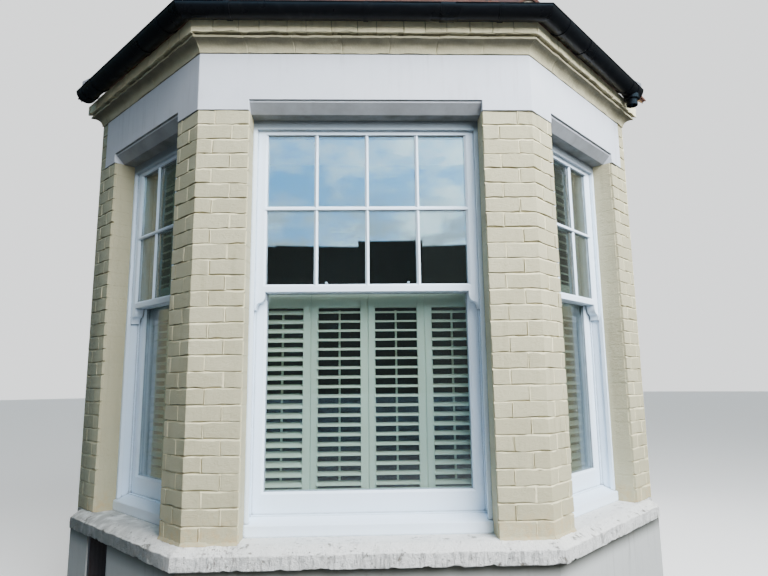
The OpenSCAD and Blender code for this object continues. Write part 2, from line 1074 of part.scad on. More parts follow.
module box_frame(open) {
  stand = z_head - z_sill;
  post_in = open / 2 - lining_show + lining_stop;
  whole = open + 2 * check;
  deep = wall_t - upper_y;
  inner_y = lower_y + sash_t;
  timber_sill(open);
  for (k = [0, 1])
    mirror([k, 0, 0]) {
      // outer lining
      translate([open / 2 - lining_show, reveal, z_sill + lining_foot])
        cube([check + lining_show, lining, stand - lining_foot]);
      // pulley stile and back lining
      translate([post_in, upper_y, z_sill + lining_foot])
        cube([stile_board, deep, stand - lining_foot]);
      translate([open / 2 + check - back_board, upper_y, z_sill + lining_foot])
        cube([back_board, deep, stand - lining_foot]);
      // parting bead
      translate([post_in - parting, upper_y + sash_t, z_board])
        cube([parting + tiny, parting, stand - timber_sill_h - head_show]);
      // inner lining
      translate([open / 2 - lining_show, inner_y, z_board])
        cube([check + lining_show, wall_t - inner_y, stand - timber_sill_h]);
    }
  // head
  translate([-whole / 2, reveal, z_head - head_show]) cube([whole, lining, head_show]);
  translate([-whole / 2, upper_y, z_head - head_show + lining_stop])
    cube([whole, deep, head_show - lining_stop]);
  translate([-whole / 2, inner_y, z_head - head_show])
    cube([whole, wall_t - inner_y, head_show]);
}

// Sashes

// A pane opening with bevelled edges on the outside and a straight part behind
module pane_cut(w, h, y0) {
  translate([-w / 2, y0 - 1, 0]) cube([w, sash_t + 2, h]);
  intersection() {
    rotate([90, 0, 90])
      translate([0, 0, -w])
        linear_extrude(2 * w)
          polygon([
            [y0 - tiny, -bevel],
            [y0 - tiny, h + bevel],
            [y0 + bevel, h],
            [y0 + bevel, 0]
          ]);
    linear_extrude(2 * h, center = true)
      polygon([
        [-w / 2 - bevel, y0 - tiny],
        [w / 2 + bevel, y0 - tiny],
        [w / 2, y0 + bevel],
        [-w / 2, y0 + bevel]
      ]);
  }
}

function sash_w(open) = open - 2 * (lining_show - lining_stop) - 2 * sash_play;
function glass_w(open) = sash_w(open) - 2 * stile_w;

upper_z0 = z_sill + meeting_z;
upper_z1 = z_head - head_show + lining_stop - sash_play;
upper_h = upper_z1 - upper_z0;
glass_z = upper_z0 + meeting_rail;
lower_h = meeting_z + meeting_rail - timber_sill_h;

// Horn: the stile runs on below the meeting rail and ends in an ogee of two curves
horn_straight = 0.18 * horn;
horn_round = [26, 0.42 * horn];
horn_hollow_w = 20;
horn_hollow = [horn_hollow_w, horn - horn_straight - horn_round[1]];
horn_curve = concat(
  [[0, 0], [stile_w, 0]],
  [
    for (a = [0:15:90])
      [stile_w - horn_round[0] * (1 - cos(a)), -horn_straight - horn_round[1] * sin(a)]
  ],
  [
    for (a = [15:15:90])
      [
        stile_w - horn_round[0] - horn_hollow[0] * sin(a),
        -horn + horn_hollow[1] * cos(a)
      ]
  ],
  [[0, -horn]]
);

module upper_sash(open, lights) {
  w = sash_w(open);
  gw = glass_w(open);
  lw = (gw - (lights - 1) * bar_w) / lights;
  lh = (upper_h - top_rail - meeting_rail - bar_w) / 2;
  difference() {
    translate([-w / 2, upper_y, upper_z0]) cube([w, sash_t, upper_h]);
    for (i = [0:lights - 1])
      for (j = [0, 1])
        translate([(i + 0.5) * (lw + bar_w) - (gw + bar_w) / 2, 0, glass_z + j * (lh + bar_w)])
          pane_cut(lw, lh, upper_y);
    // room for the sealed unit, behind the outer bars and in front of the inner ones
    translate([-gw / 2 - tiny, unit_y(upper_y), glass_z])
      cube([gw + 2 * tiny, unit_t, 2 * lh + bar_w]);
  }
  for (k = [0, 1])
    mirror([k, 0, 0])
      translate([-w / 2, upper_y + sash_t, upper_z0])
        rotate([90, 0, 0])
          linear_extrude(sash_t)
            polygon(horn_curve);
}

unit_t = 2 * pane_t + pane_gap;
function unit_y(y) = y + (sash_t - unit_t) / 2;

module lower_sash(open) {
  w = sash_w(open);
  gw = glass_w(open);
  gh = lower_h - bottom_rail - meeting_rail;
  difference() {
    translate([-w / 2, lower_y, z_board]) cube([w, sash_t, lower_h]);
    translate([0, 0, z_board + bottom_rail]) pane_cut(gw, gh, lower_y);
  }
}

module unit(gw, gh, y, z) {
  for (d = [0, pane_t + pane_gap])
    translate([-gw / 2, unit_y(y) + d, z]) cube([gw, pane_t, gh]);
}

module glass(open) {
  gw = glass_w(open);
  unit(gw, upper_h - top_rail - meeting_rail, upper_y, glass_z);
  unit(gw, lower_h - bottom_rail - meeting_rail, lower_y, z_board + bottom_rail);
}

// Sash fasteners on the meeting rails: base plate, barrel, lever and knob
fastener_x = 211;
fastener_plate = [44, 20, 4];
barrel = [8, 16];
lever = [12, 34, 5];
knob = [6, 8];
lever_front = 24;

module fastener(x) {
  translate([x, lower_y + sash_t / 2, glass_z]) {
    translate([-fastener_plate[0] / 2, -fastener_plate[1] / 2, 0]) cube(fastener_plate);
    cylinder(h = barrel[1], r = barrel[0]);
    translate([-lever[0] / 2, -lever_front, barrel[1] - fastener_plate[2]]) cube(lever);
    translate([0, -lever_front, barrel[1] - fastener_plate[2]]) cylinder(h = knob[1], r = knob[0]);
  }
}

module frame_front() {
  color([0.93, 0.94, 0.95]) on_front_face() box_frame(front_open);
}

module frame_left() {
  color([0.93, 0.94, 0.95]) on_left_face() translate([side_mid, 0, 0]) box_frame(side_open);
}

module frame_right() {
  mirrored() frame_left();
}

module upper_sash_front() {
  color([0.95, 0.96, 0.97]) on_front_face() upper_sash(front_open, front_lights);
}

module upper_sash_left() {
  color([0.95, 0.96, 0.97]) on_left_face() translate([side_mid, 0, 0]) upper_sash(side_open, side_lights);
}

module upper_sash_right() {
  mirrored() upper_sash_left();
}

module lower_sash_front() {
  color([0.95, 0.96, 0.97]) on_front_face() lower_sash(front_open);
}

module lower_sash_left() {
  color([0.95, 0.96, 0.97]) on_left_face() translate([side_mid, 0, 0]) lower_sash(side_open);
}

module lower_sash_right() {
  mirrored() lower_sash_left();
}

module glass_front() {
  color([0.7, 0.8, 0.85, 0.5]) on_front_face() glass(front_open);
}

module glass_left() {
  color([0.7, 0.8, 0.85, 0.5]) on_left_face() translate([side_mid, 0, 0]) glass(side_open);
}

module glass_right() {
  mirrored() glass_left();
}

module sash_fasteners() {
  color([0.95, 0.95, 0.95]) {
    on_front_face()
      for (x = [-fastener_x, fastener_x]) fastener(x);
    for (k = [0, 1])
      mirror([k, 0, 0]) on_left_face() fastener(side_mid);
  }
}

// Shutters behind the windows

z_tier = z_sill + tier_z;
// The upper tier ends a little below the window head
shutter_head_gap = 4;
z_shutter_top = z_head - shutter_head_gap;
// Row of panels wider than the brick opening on each side
panel_over = 8;
// Panels behind the inner face of the wall
panel_back = 24;
// Eased outer edges, so that the joint between two panels shows
panel_ease = 4;
// Rails thinner than the stiles on each face
rail_in = 3;
// Rails and blades are tenoned into the stiles
tenon = 2;
rod_t = 8;
rod_end = 12;
surround_w = 34;

// Thickness of a blade at its two edges
blade_edge = 3;
blade_rise = (blade_t - blade_edge) / 2;
blade_round = (blade_w * blade_w / 4 + blade_rise * blade_rise) / (2 * blade_rise);

// One louvre blade of lens shape
module blade(w, tilt) {
  bow = blade_round - blade_t / 2;
  translate([-w / 2, 0, 0])
    rotate([90, 0, 90])
      linear_extrude(w)
        rotate(tilt)
          intersection() {
            translate([0, bow]) circle(blade_round, $fn = 96);
            translate([0, -bow]) circle(blade_round, $fn = 96);
            square([blade_w, blade_t], center = true);
          }
}

module shutter_panel(w, h, tilt) {
  bw = w - 2 * panel_stile;
  zone = h - 2 * panel_rail;
  n = floor(zone / blade_pitch);
  for (k = [0, 1])
    mirror([k, 0, 0])
      linear_extrude(h)
        polygon([
          [w / 2 - panel_stile, 0],
          [w / 2 - panel_ease, 0],
          [w / 2, panel_ease],
          [w / 2, panel_t],
          [w / 2 - panel_stile, panel_t]
        ]);
  for (z = [0, h - panel_rail])
    translate([-bw / 2 - tenon, rail_in, z])
      cube([bw + 2 * tenon, panel_t - 2 * rail_in, panel_rail]);
  for (k = [0:n - 1])
    translate([0, panel_t / 2, panel_rail + (k + 0.5) * zone / n])
      blade(bw + 2 * tenon, tilt);
  // tilt rod along the room edges of the blades
  translate([-rod_w / 2, panel_t / 2 + blade_w / 2 * cos(tilt) - rod_t / 2, panel_rail + rod_end])
    cube([rod_w, rod_t, zone - 2 * rod_end]);
}

// A row of panels, one for each tilt in the list
module shutter_row(open, tilts, z0, z1) {
  count = len(tilts);
  pw = (open + 2 * panel_over) / count;
  for (k = [0:count - 1])
    translate([(k - (count - 1) / 2) * pw, wall_t + panel_back, z0])
      shutter_panel(pw - seat, z1 - z0, tilts[k]);
}

module shutter_surround(open, z1) {
  for (k = [0, 1])
    mirror([k, 0, 0])
      translate([open / 2 + panel_over, wall_t, z_board])
        cube([surround_w, panel_back + panel_t + 2, z1 - z_board]);
}

side_tilts = [for (k = [1:side_panels]) side_tilt];

module shutters_front() {
  color([0.8, 0.84, 0.76])
    on_front_face() {
      shutter_row(front_open, front_tilts, z_board, z_tier);
      shutter_surround(front_open, z_tier);
    }
}

module shutters_left() {
  color([0.8, 0.84, 0.76])
    on_left_face()
      translate([side_mid, 0, 0]) {
        shutter_row(side_open, side_tilts, z_board, z_tier - seat);
        shutter_row(side_open, side_tilts, z_tier, z_shutter_top);
        shutter_surround(side_open, z_shutter_top);
      }
}

module shutters_right() {
  mirrored() shutters_left();
}

base_wall_front();
base_wall_left();
base_wall_right();
vent_lining();
stone_sill_front();
stone_sill_left();
stone_sill_right();
corner_pier_left();
corner_pier_right();
wall_pier_left();
wall_pier_right();
lintel_front();
lintel_left();
lintel_right();
cornice_front();
cornice_left();
cornice_right();
gutter_front();
gutter_left();
gutter_right();
gutter_brackets();
roof_slope_front();
roof_slope_left();
roof_slope_right();
hip_tiles_left();
hip_tiles_right();
lead_flashing();
roof_timbers();
ceiling();
ceiling_joists();
floor_boards();
floor_joists();
window_board();
frame_front();
frame_left();
frame_right();
upper_sash_front();
upper_sash_left();
upper_sash_right();
lower_sash_front();
lower_sash_left();
lower_sash_right();
glass_front();
glass_left();
glass_right();
sash_fasteners();
shutters_front();
shutters_left();
shutters_right();
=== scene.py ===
"""Surfaces and small masonry of a canted bay window, built around its packed solids.

Laid out as an add-on and run as a script: main() works through the operators in order.
Painted bricks, cornice, sill, lintels, floor boards and tiles are modelled here; the windows,
shutters, gutters and timbers keep their solids and get their finishes.
"""

import json
import math
import random

import bmesh
import bpy
from bpy.props import FloatProperty, FloatVectorProperty, PointerProperty
from mathutils import Matrix, Vector, noise


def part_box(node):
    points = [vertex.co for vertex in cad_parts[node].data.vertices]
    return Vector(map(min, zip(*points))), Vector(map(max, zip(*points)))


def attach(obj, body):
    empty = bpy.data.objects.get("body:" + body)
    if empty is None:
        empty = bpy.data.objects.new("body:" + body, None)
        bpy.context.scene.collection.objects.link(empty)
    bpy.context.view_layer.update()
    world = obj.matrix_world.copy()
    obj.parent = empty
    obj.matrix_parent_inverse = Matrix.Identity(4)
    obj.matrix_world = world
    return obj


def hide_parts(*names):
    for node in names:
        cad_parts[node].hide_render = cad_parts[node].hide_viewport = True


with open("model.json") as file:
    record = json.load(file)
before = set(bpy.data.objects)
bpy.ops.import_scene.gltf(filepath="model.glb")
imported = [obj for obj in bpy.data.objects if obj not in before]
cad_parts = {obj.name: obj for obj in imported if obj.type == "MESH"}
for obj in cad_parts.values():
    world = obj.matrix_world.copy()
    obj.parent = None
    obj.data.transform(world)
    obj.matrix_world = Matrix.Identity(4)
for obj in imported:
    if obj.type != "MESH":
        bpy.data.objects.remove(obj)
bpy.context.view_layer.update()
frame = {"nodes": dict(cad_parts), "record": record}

bl_info = {
    "name": "Canted Bay Window",
    "version": (1, 0, 0),
    "blender": (4, 5, 0),
    "location": "3D View > Sidebar > Bay",
    "description": "Builds the brickwork, roof tiles and finishes of a canted bay window",
    "category": "Object",
}

BAY = "bay_"

# Levels and planes of the solids
SILL_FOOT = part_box("stone_sill_front")[0].z
SILL_TOP, HEAD = (corner.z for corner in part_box("corner_pier_left"))
LINTEL_TOP, CORNICE_TOP = (corner.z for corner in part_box("cornice_front"))
FRONT_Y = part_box("corner_pier_left")[0].y
WALL_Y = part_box("lead_flashing")[1].y
BACK_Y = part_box("wall_pier_left")[1].y
ROOM_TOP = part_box("ceiling")[1].z
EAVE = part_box("roof_slope_front")[0].z


# ---- Sizes and colours that a user would change


def length(name, default, text):
    return FloatProperty(name=name, description=text, default=default, min=0, unit="LENGTH", precision=4)


def strength(name, default, text, unit="NONE"):
    return FloatProperty(name=name, description=text, default=default, min=0, unit=unit)


def angle(name, degrees, text):
    return FloatProperty(name=name, description=text, default=math.radians(degrees), subtype="ANGLE")


def linear(value):
    """A screen value from 0 to 1 as the light that it stands for."""
    return value / 12.92 if value <= 0.04045 else ((value + 0.055) / 1.055) ** 2.4


def shade(*values):
    return [linear(value) for value in values]


def grey(value):
    return [linear(value)] * 3


def scaled(tone, *factors):
    """A colour times one factor, or three."""
    return [value * factor for value, factor in zip(tone, factors * 3)]


def colour(name, values, text):
    return FloatVectorProperty(
        name=name, description=text, default=shade(*values), size=3, min=0, max=1, subtype="COLOR"
    )


class BayPlanSizes(bpy.types.PropertyGroup):
    """Sizes of the plan, as in the solids"""

    front_width: length("Front width", 1.672, "Front face between its two brick corners")
    cant: angle("Cant", 45, "Angle that each side face turns back")
    front_opening: length("Front opening", 1.172, "Brick opening of the front window")
    side_opening: length("Side opening", 0.795, "Brick opening of each side window")
    near_pier: length("Near pier", 0.205, "Brickwork between a side opening and the front corner")
    far_pier: length("Far pier", 0.225, "Brickwork between a side opening and the house")
    wall: length("Wall", 0.27, "Thickness of the wall")
    reveal: length("Reveal", 0.122, "Depth of brick in front of a box frame")
    rebate: length("Rebate", 0.045, "Brick that hides the edge of a box frame")


class BayMasonry(bpy.types.PropertyGroup):
    """Sizes and colours of the brick, stone and render"""

    course: length("Course", 0.076, "Height of a brick course with its joint")
    joint: length("Joint", 0.008, "Thickness of the joints")
    slot: length("Slot", 0.0034, "Open part of a joint, under a brick or beside it")
    slot_depth: length("Slot depth", 0.012, "Depth of that open part")
    brick_edge: length("Brick edge", 0.0024, "Roundness of the painted brick edges")
    reveal_skin: length("Reveal skin", 0.0025, "Paint and filler that smooth the brick returns beside a window")
    unevenness: length("Unevenness", 0.0022, "How far brick faces and edges wander")
    brick_wander: length("Brick wander", 0.0075, "How far the long edges of a brick wander up and down")
    struck: length("Struck mortar", 0.0055, "How far the upper edge of a joint's mortar wanders")
    short_cut: length("Short cut", 0.078, "Short brick face beside a corner")
    long_cut: length("Long cut", 0.165, "Long brick face beside a corner")
    lintel_return: length("Lintel return", 0.084, "Brickwork beside the lintel band at the house")
    cornice_brick: length("Cornice brick", 0.112, "Length of a brick in the top course of the cornice")
    moulding_brick: length("Moulding brick", 0.228, "Length of a moulded brick under it")
    cream: colour("Cream paint", (0.725, 0.695, 0.57), "Masonry paint on the bricks")
    lintel: colour("Lintel paint", (0.785, 0.80, 0.825), "Paint on the smooth lintel band")
    render: colour("Render", (0.71, 0.715, 0.70), "Paint on the rendered base")
    sill: colour("Sill paint", (0.95, 0.945, 0.92), "Worn paint on the stone sill")
    stone: colour("Bare stone", (0.52, 0.48, 0.41), "Stone where the paint is worn off")
    grime: colour("Grime", (0.27, 0.23, 0.17), "Dirt in joints and streaks")
    raw_brick: colour("Raw brick", (0.55, 0.40, 0.27), "Brick of the ends inside the house wall")


class BayRoof(bpy.types.PropertyGroup):
    """Sizes and colours of the tiled roof"""

    pitch: angle("Pitch", 38, "Pitch of the three slopes")
    reach: length("Eave reach", 0.11, "Eave in front of the brick face")
    gauge: length("Gauge", 0.1, "Exposed length of a tile course")
    bed: length("Bed", 0.034, "Height of the tile edges over the rafters")
    step: length("Step", 0.013, "Drop of a tile along one gauge")
    tile_width: length("Tile width", 0.165, "Width of a plain tile")
    tile_thickness: length("Tile thickness", 0.012, "Thickness of a plain tile")
    hip_radius: length("Hip radius", 0.085, "Radius of the half round hip tiles")
    hip_length: length("Hip length", 0.3, "Exposed length of a hip tile")
    clay: colour("Clay", (0.37, 0.25, 0.21), "Colour of the tiles")
    moss: colour("Lichen", (0.34, 0.33, 0.26), "Growth on old tiles")
    mortar: colour("Mortar", (0.60, 0.57, 0.51), "Bedding of the hip tiles")
    lead: colour("Lead", (0.40, 0.41, 0.43), "Weathered lead")


class BayJoinery(bpy.types.PropertyGroup):
    """Colours of the windows, shutters, metal and timber"""

    white: colour("White paint", (0.89, 0.948, 1.0), "Satin paint on frames and sashes")
    shutter: colour("Shutter paint", (0.66, 0.71, 0.63), "Pale grey green paint on the shutters")
    gutter: colour("Gutter black", (0.04, 0.045, 0.055), "Paint on gutters and brackets")
    timber: colour("Timber", (0.70, 0.56, 0.40), "Sawn softwood")
    boards: colour("Floor boards", (0.60, 0.45, 0.30), "Floor boards")
    plaster: colour("Plaster", (0.88, 0.87, 0.84), "Plaster and emulsion inside")
    board_width: length("Board width", 0.15, "Floor board with its joint")
    board_gap: length("Board gap", 0.002, "Open joint between two floor boards")


class BayStage(bpy.types.PropertyGroup):
    """Camera and light"""

    camera: FloatVectorProperty(
        name="Camera", description="Place of the camera", default=(-0.0046, FRONT_Y - 2.7351, SILL_TOP + 0.7117),
        size=3, subtype="TRANSLATION", unit="LENGTH",
    )
    pitch: angle("Pitch", 9.06, "Camera tilted up")
    yaw: angle("Yaw", 1.74, "Camera turned to the right")
    roll: angle("Roll", -0.66, "Camera turned about its own axis")
    lens: FloatProperty(name="Lens", description="Focal length for a 36 mm film", default=27.19, unit="CAMERA")
    key: strength("Key light", 1850.0, "Power of the soft light", "POWER")
    key_turn: angle("Key turned", 40, "Direction of the soft light, to the right of the front")
    key_height: angle("Key height", 35, "Height of the soft light over the horizon")
    key_distance: length("Key distance", 6.5, "From the front face to the soft light")
    back: strength("Back light", 160.0, "Power of the light behind the room", "POWER")
    fill: strength("Fill", 0.4, "Strength of the light from all round")
    sky: strength("Sky", 9.0, "Strength of the sky seen in the glass")
    roofline: angle("Roofline", 13.6, "Height of the dark band seen in the glass")
    floor: colour("Floor", (0.94, 0.94, 0.93), "Pale studio floor")
    backdrop: strength("Background", 1.6, "Brightness of the pale background")


GROUPS = {
    "bay_plan": BayPlanSizes,
    "bay_masonry": BayMasonry,
    "bay_roof": BayRoof,
    "bay_joinery": BayJoinery,
    "bay_stage": BayStage,
}


# ---- Plan


class Plan:
    """Points of the plan on one side, -1 left or 1 right. out is measured from the brick face."""

    def __init__(self, side):
        sizes = bpy.context.scene.bay_plan
        self.side, self.sizes, self.half = side, sizes, sizes.cant / 2
        self.cos, self.sin = math.cos(sizes.cant), math.sin(sizes.cant)
        self.side_width = sizes.near_pier + sizes.side_opening + sizes.far_pier
        self.jamb_near = self.side_width / 2 - sizes.near_pier
        self.jamb_far = sizes.far_pier - self.side_width / 2
        self.face_x = sizes.front_width / 2 + self.side_width / 2 * self.cos
        self.face_y = FRONT_Y + self.side_width / 2 * self.sin

    def front(self, x, out):
        return Vector((self.side * x, FRONT_Y - out))

    def arris(self, out):
        return self.front(self.sizes.front_width / 2 + out * math.tan(self.half), out)

    def canted(self, along, out):
        """Point of the side face; along grows from the house towards the front corner."""
        x = self.face_x - along * self.cos + out * self.sin
        return Vector((self.side * x, self.face_y - along * self.sin - out * self.cos))

    def at_wall(self, out):
        x = self.sizes.front_width / 2 + self.side_width * self.cos + out / self.sin
        return Vector((self.side * x, WALL_Y))

    def mitre(self, out):
        """along of the mitre at the front corner"""
        return self.side_width / 2 + out * math.tan(self.half)

    def wall_end(self, out):
        """along of the plane of the house wall"""
        return -self.side_width / 2 - out / math.tan(self.sizes.cant)

    def inward(self, depth):
        """Step from the side face into the wall"""
        return self.canted(0, -depth) - self.canted(0, 0)

    def behind_flank(self, point):
        return (self.face_x - point.x * self.side) * self.sin + (point.y - self.face_y) * self.cos

    def depth(self, point):
        """How far a point lies behind the nearer outer face"""
        return min(self.behind_flank(point), point.y - FRONT_Y)

    def bond_in(self):
        """Inner corner of the end that is bonded into the house"""
        return self.canted(self.jamb_far - self.sizes.rebate, -self.sizes.wall)

    def bonded(self, skin=0.0):
        """Bonded end, from the house wall's plane to the back plane"""
        inner = self.bond_in()
        return [Vector((self.at_wall(0).x, BACK_Y - skin)), Vector((inner.x, BACK_Y - skin)), inner]


def lifted(point, z):
    return Vector((point.x, point.y, z))


def raised(corners, z):
    return [lifted(corner, z) for corner in corners]


def face_name(side):
    return {-1: "left", 0: "front", 1: "right"}[side]


# ---- Mesh tools

# Without a seed of its own, the noise starts from the clock and differs in every run
noise.seed_set(1)

SEEDS = 50  # span of the places in the noise that pieces take by draw
TOWARDS_HOUSE = Vector((0, 1, 0))
UP_AND_DOWN = 0, 0, 1


def sweep(ring, stations, kinds=None):
    """A closed form: the points that ring(station) gives, carried through the stations.

    kinds gives each side of the ring the number of its material."""
    bm = bmesh.new()
    key = bm.verts.layers.int.new("key")
    first = [bm.verts.new(point) for point in ring(stations[0])]
    for i, vert in enumerate(first):
        vert[key] = i
    edges = list(bm.faces.new(first).edges)
    for station in stations[1:]:
        points = ring(station)
        made = bmesh.ops.extrude_edge_only(bm, edges=edges)["geom"]
        fresh = {g for g in made if isinstance(g, bmesh.types.BMVert)}
        for vert in fresh:
            vert.co = points[vert[key]]
        edges = [g for g in made if isinstance(g, bmesh.types.BMEdge) and fresh.issuperset(g.verts)]
    bm.faces.new(sorted(fresh, key=lambda vert: vert[key]))
    bmesh.ops.recalc_face_normals(bm, faces=bm.faces)
    for face in bm.faces if kinds else ():
        keys = sorted({vert[key] for vert in face.verts})
        if len(keys) == 2:
            face.material_index = kinds[keys[0] if keys[1] == keys[0] + 1 else keys[1]]
    return bm


def prism(corners, low, high):
    return sweep(lambda z: raised(corners, z), [low, high])


def block(size, middle):
    bm = bmesh.new()
    bmesh.ops.create_cube(bm, size=1)
    bmesh.ops.scale(bm, vec=size, verts=bm.verts)
    bmesh.ops.translate(bm, vec=middle, verts=bm.verts)
    return bm


def everything(bm):
    return bm.verts[:] + bm.edges[:] + bm.faces[:]


def trim(bm, point, outward):
    """Cuts off what lies beyond a plane and closes the cut. Returns False if nothing is left."""
    cut = bmesh.ops.bisect_plane(
        bm, geom=everything(bm), dist=1e-6, plane_co=point, plane_no=outward, clear_outer=True
    )["geom_cut"]
    edges = [g for g in cut if isinstance(g, bmesh.types.BMEdge)]
    if bm.faces and edges:
        bmesh.ops.holes_fill(bm, edges=edges, sides=0)
    return len(bm.faces) > 3


def slice_up(bm, step, axis, low, high):
    """Adds cuts across a mesh every step along an axis."""
    normal = Vector([float(i == axis) for i in range(3)])
    for k in range(1, int((high - low) / step)):
        bmesh.ops.bisect_plane(bm, geom=everything(bm), dist=1e-6, plane_co=normal * (low + k * step), plane_no=normal)


def roughen(bm, depth, size, seed=0.0, keep=None, ways=(1, 1, 1)):
    """Lets the surface wander by up to depth, over distances of about size."""
    for vert in bm.verts:
        if keep is None or not keep(vert.co):
            vert.co += noise.noise_vector(vert.co / size + Vector((seed, seed, seed))) * Vector(ways) * depth


def bevel(bm, edges, radius, segments=2):
    bmesh.ops.bevel(
        bm, geom=edges, offset=radius, segments=segments, profile=0.5, affect="EDGES", material=-1, clamp_overlap=True
    )


def soften(bm, radius):
    sharp = math.radians(35)
    bevel(bm, [e for e in bm.edges if e.is_manifold and abs(e.calc_face_angle_signed(0)) > sharp], radius)


def copy_of(name):
    """A node's solid as one welded mesh with whole faces."""
    bm = bmesh.new()
    bm.from_mesh(frame["nodes"][name].data)
    bmesh.ops.remove_doubles(bm, verts=bm.verts, dist=2e-5)
    bmesh.ops.dissolve_limit(bm, angle_limit=math.radians(0.5), verts=bm.verts, edges=bm.edges)
    return bm


def put(name, data):
    """Adds an object to the scene."""
    thing = bpy.data.objects.new(name, data)
    bpy.context.scene.collection.objects.link(thing)
    return thing


def mesh_of(name, bm, *materials):
    mesh = bpy.data.meshes.new(name)
    bm.to_mesh(mesh)
    bm.free()
    for look in materials:
        mesh.materials.append(look)
    return mesh


class Pile:
    """Collects small meshes into one piece, and remembers a tint for each of them."""

    def __init__(self, name):
        self.name = name
        self.bm = bmesh.new()
        self.tints = []

    def add(self, bm, tint=0.5, kind=None):
        if kind is not None:
            for face in bm.faces:
                face.material_index = kind
        carrier = mesh_of("carrier", bm)
        self.bm.from_mesh(carrier)
        self.tints += [tint] * len(carrier.vertices)
        bpy.data.meshes.remove(carrier)

    def finish(self, materials, slot, node, crease=40):
        """Makes the piece, which stands for the solid of a node."""
        mesh = mesh_of(self.name, self.bm, *(material(name) for name in materials))
        mesh.attributes.new("tint", "FLOAT", "POINT").data.foreach_set("value", self.tints)
        mesh.shade_smooth()
        mesh.set_sharp_from_angle(angle=math.radians(crease))
        piece = put(self.name, mesh)
        piece.modifiers.new("flat faces", "WEIGHTED_NORMAL").keep_sharp = True
        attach(piece, "root")
        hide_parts(node)


# ---- Shader tools


class Graph:
    """A node tree being made, on coordinates of its own. Inputs are values, or outputs of other nodes."""

    def __init__(self, tree):
        self.tree, self.where = tree, None

    def feed(self, made, inputs):
        """Sets inputs of a node, by the names or numbers of their sockets, and returns its outputs."""
        for name, value in inputs.items():
            if isinstance(value, bpy.types.NodeSocket):
                self.tree.links.new(value, made.inputs[name])
            else:
                made.inputs[name].default_value = value
        return made.outputs

    def node(self, kind, inputs=None, **settings):
        """Adds a node and returns its outputs."""
        made = self.tree.nodes.new(kind)
        for name, value in settings.items():
            setattr(made, name, value)
        return self.feed(made, inputs or {})

    def maths(self, operation, a, b, clamp=False):
        return self.node("ShaderNodeMath", {0: a, 1: b}, operation=operation, use_clamp=clamp)[0]

    def times(self, first, *others):
        for other in others:
            first = self.maths("MULTIPLY", first, other)
        return first

    def plus(self, a, b, clamp=False):
        return self.maths("ADD", a, b, clamp)

    def minus(self, a, b):
        return self.maths("SUBTRACT", a, b)

    def larger(self, a, b):
        return self.maths("MAXIMUM", a, b)

    def vectors(self, operation, a, b):
        return self.node("ShaderNodeVectorMath", {0: a, 1: b}, operation=operation)

    def axes(self, vector):
        return self.node("ShaderNodeSeparateXYZ", {0: vector})

    def upward(self):
        """1 on faces turned up, 0 on upright ones, -1 on faces turned down"""
        return self.axes(self.node("ShaderNodeNewGeometry")["Normal"])["Z"]

    def blend(self, factor, a, b):
        """Two colours mixed by a factor."""
        a, b = (v if isinstance(v, bpy.types.NodeSocket) else (*v, 1.0) for v in (a, b))
        return self.node("ShaderNodeMix", {0: factor, 6: a, 7: b}, data_type="RGBA")[2]

    def span(self, value, low, high, to_low=0.0, to_high=1.0):
        """Maps a value from one range to another, and stops at its ends."""
        inputs = {"Value": value, "From Min": low, "From Max": high, "To Min": to_low, "To Max": to_high}
        return self.node("ShaderNodeMapRange", inputs, interpolation_type="SMOOTHSTEP")[0]

    def fade(self, value, low, high, start=1.0):
        """The same, falling from a start to nothing."""
        return self.span(value, low, high, start, 0.0)

    def clouds(self, scale, detail=4.0, rough=0.55, stretch=None):
        vector = self.where
        if stretch:
            vector = self.node("ShaderNodeMapping", {"Vector": vector, "Scale": stretch})[0]
        inputs = {"Vector": vector, "Scale": scale, "Detail": detail, "Roughness": rough}
        return self.node("ShaderNodeTexNoise", inputs)["Fac"]


class Effect(Graph):
    """A shared effect as a shader group: it takes a vector and numbers, and gives masks, heights or normals."""

    def __init__(self, name, results, **numbers):
        super().__init__(bpy.data.node_groups.new(name, "ShaderNodeTree"))
        self.socket("Vector", "INPUT")
        for label, default in numbers.items():
            self.socket(label, "INPUT").default_value = default
        for label in results:
            self.socket(label, "OUTPUT")
        self.inputs = self.tree.nodes.new("NodeGroupInput").outputs
        self.results = self.tree.nodes.new("NodeGroupOutput")
        self.where = self.inputs["Vector"]

    def socket(self, label, way):
        kind = "NodeSocketVector" if label in ("Vector", "Normal") else "NodeSocketFloat"
        return self.tree.interface.new_socket(label, in_out=way, socket_type=kind)

    def give(self, **results):
        self.feed(self.results, results)


def make_paint_relief():
    """Relief of thick brushed paint: soft lumps, fine grain and brush strokes."""
    g = Effect("Paint Relief", ("Height", "Patches"), Lumps=70.0, Grain=900.0, Strokes=0.3)
    lumps = g.clouds(g.inputs["Lumps"], 3.0)
    grain = g.times(g.clouds(g.inputs["Grain"], 2.0), 0.25)
    strokes = g.times(g.clouds(60.0, 3.0, stretch=(1.0, 1.0, 9.0)), g.inputs["Strokes"])
    height = g.node("ShaderNodeMath", {0: lumps, 1: 0.6, 2: grain}, operation="MULTIPLY_ADD")[0]
    g.give(Height=g.plus(height, strokes), Patches=g.clouds(5.0, 5.0, 0.6))


def make_rain_streaks():
    """Dirt that has run down a wall in narrow streaks."""
    g = Effect("Rain Streaks", ("Mask",), Width=30.0, Amount=0.5)
    runs = g.clouds(g.inputs["Width"], 4.0, 0.6, stretch=(1.0, 1.0, 0.06))
    mask = g.times(g.span(runs, 0.48, 0.78), g.span(g.clouds(3.0, 3.0), 0.4, 0.7))
    g.give(Mask=g.maths("MULTIPLY", mask, g.inputs["Amount"], clamp=True))


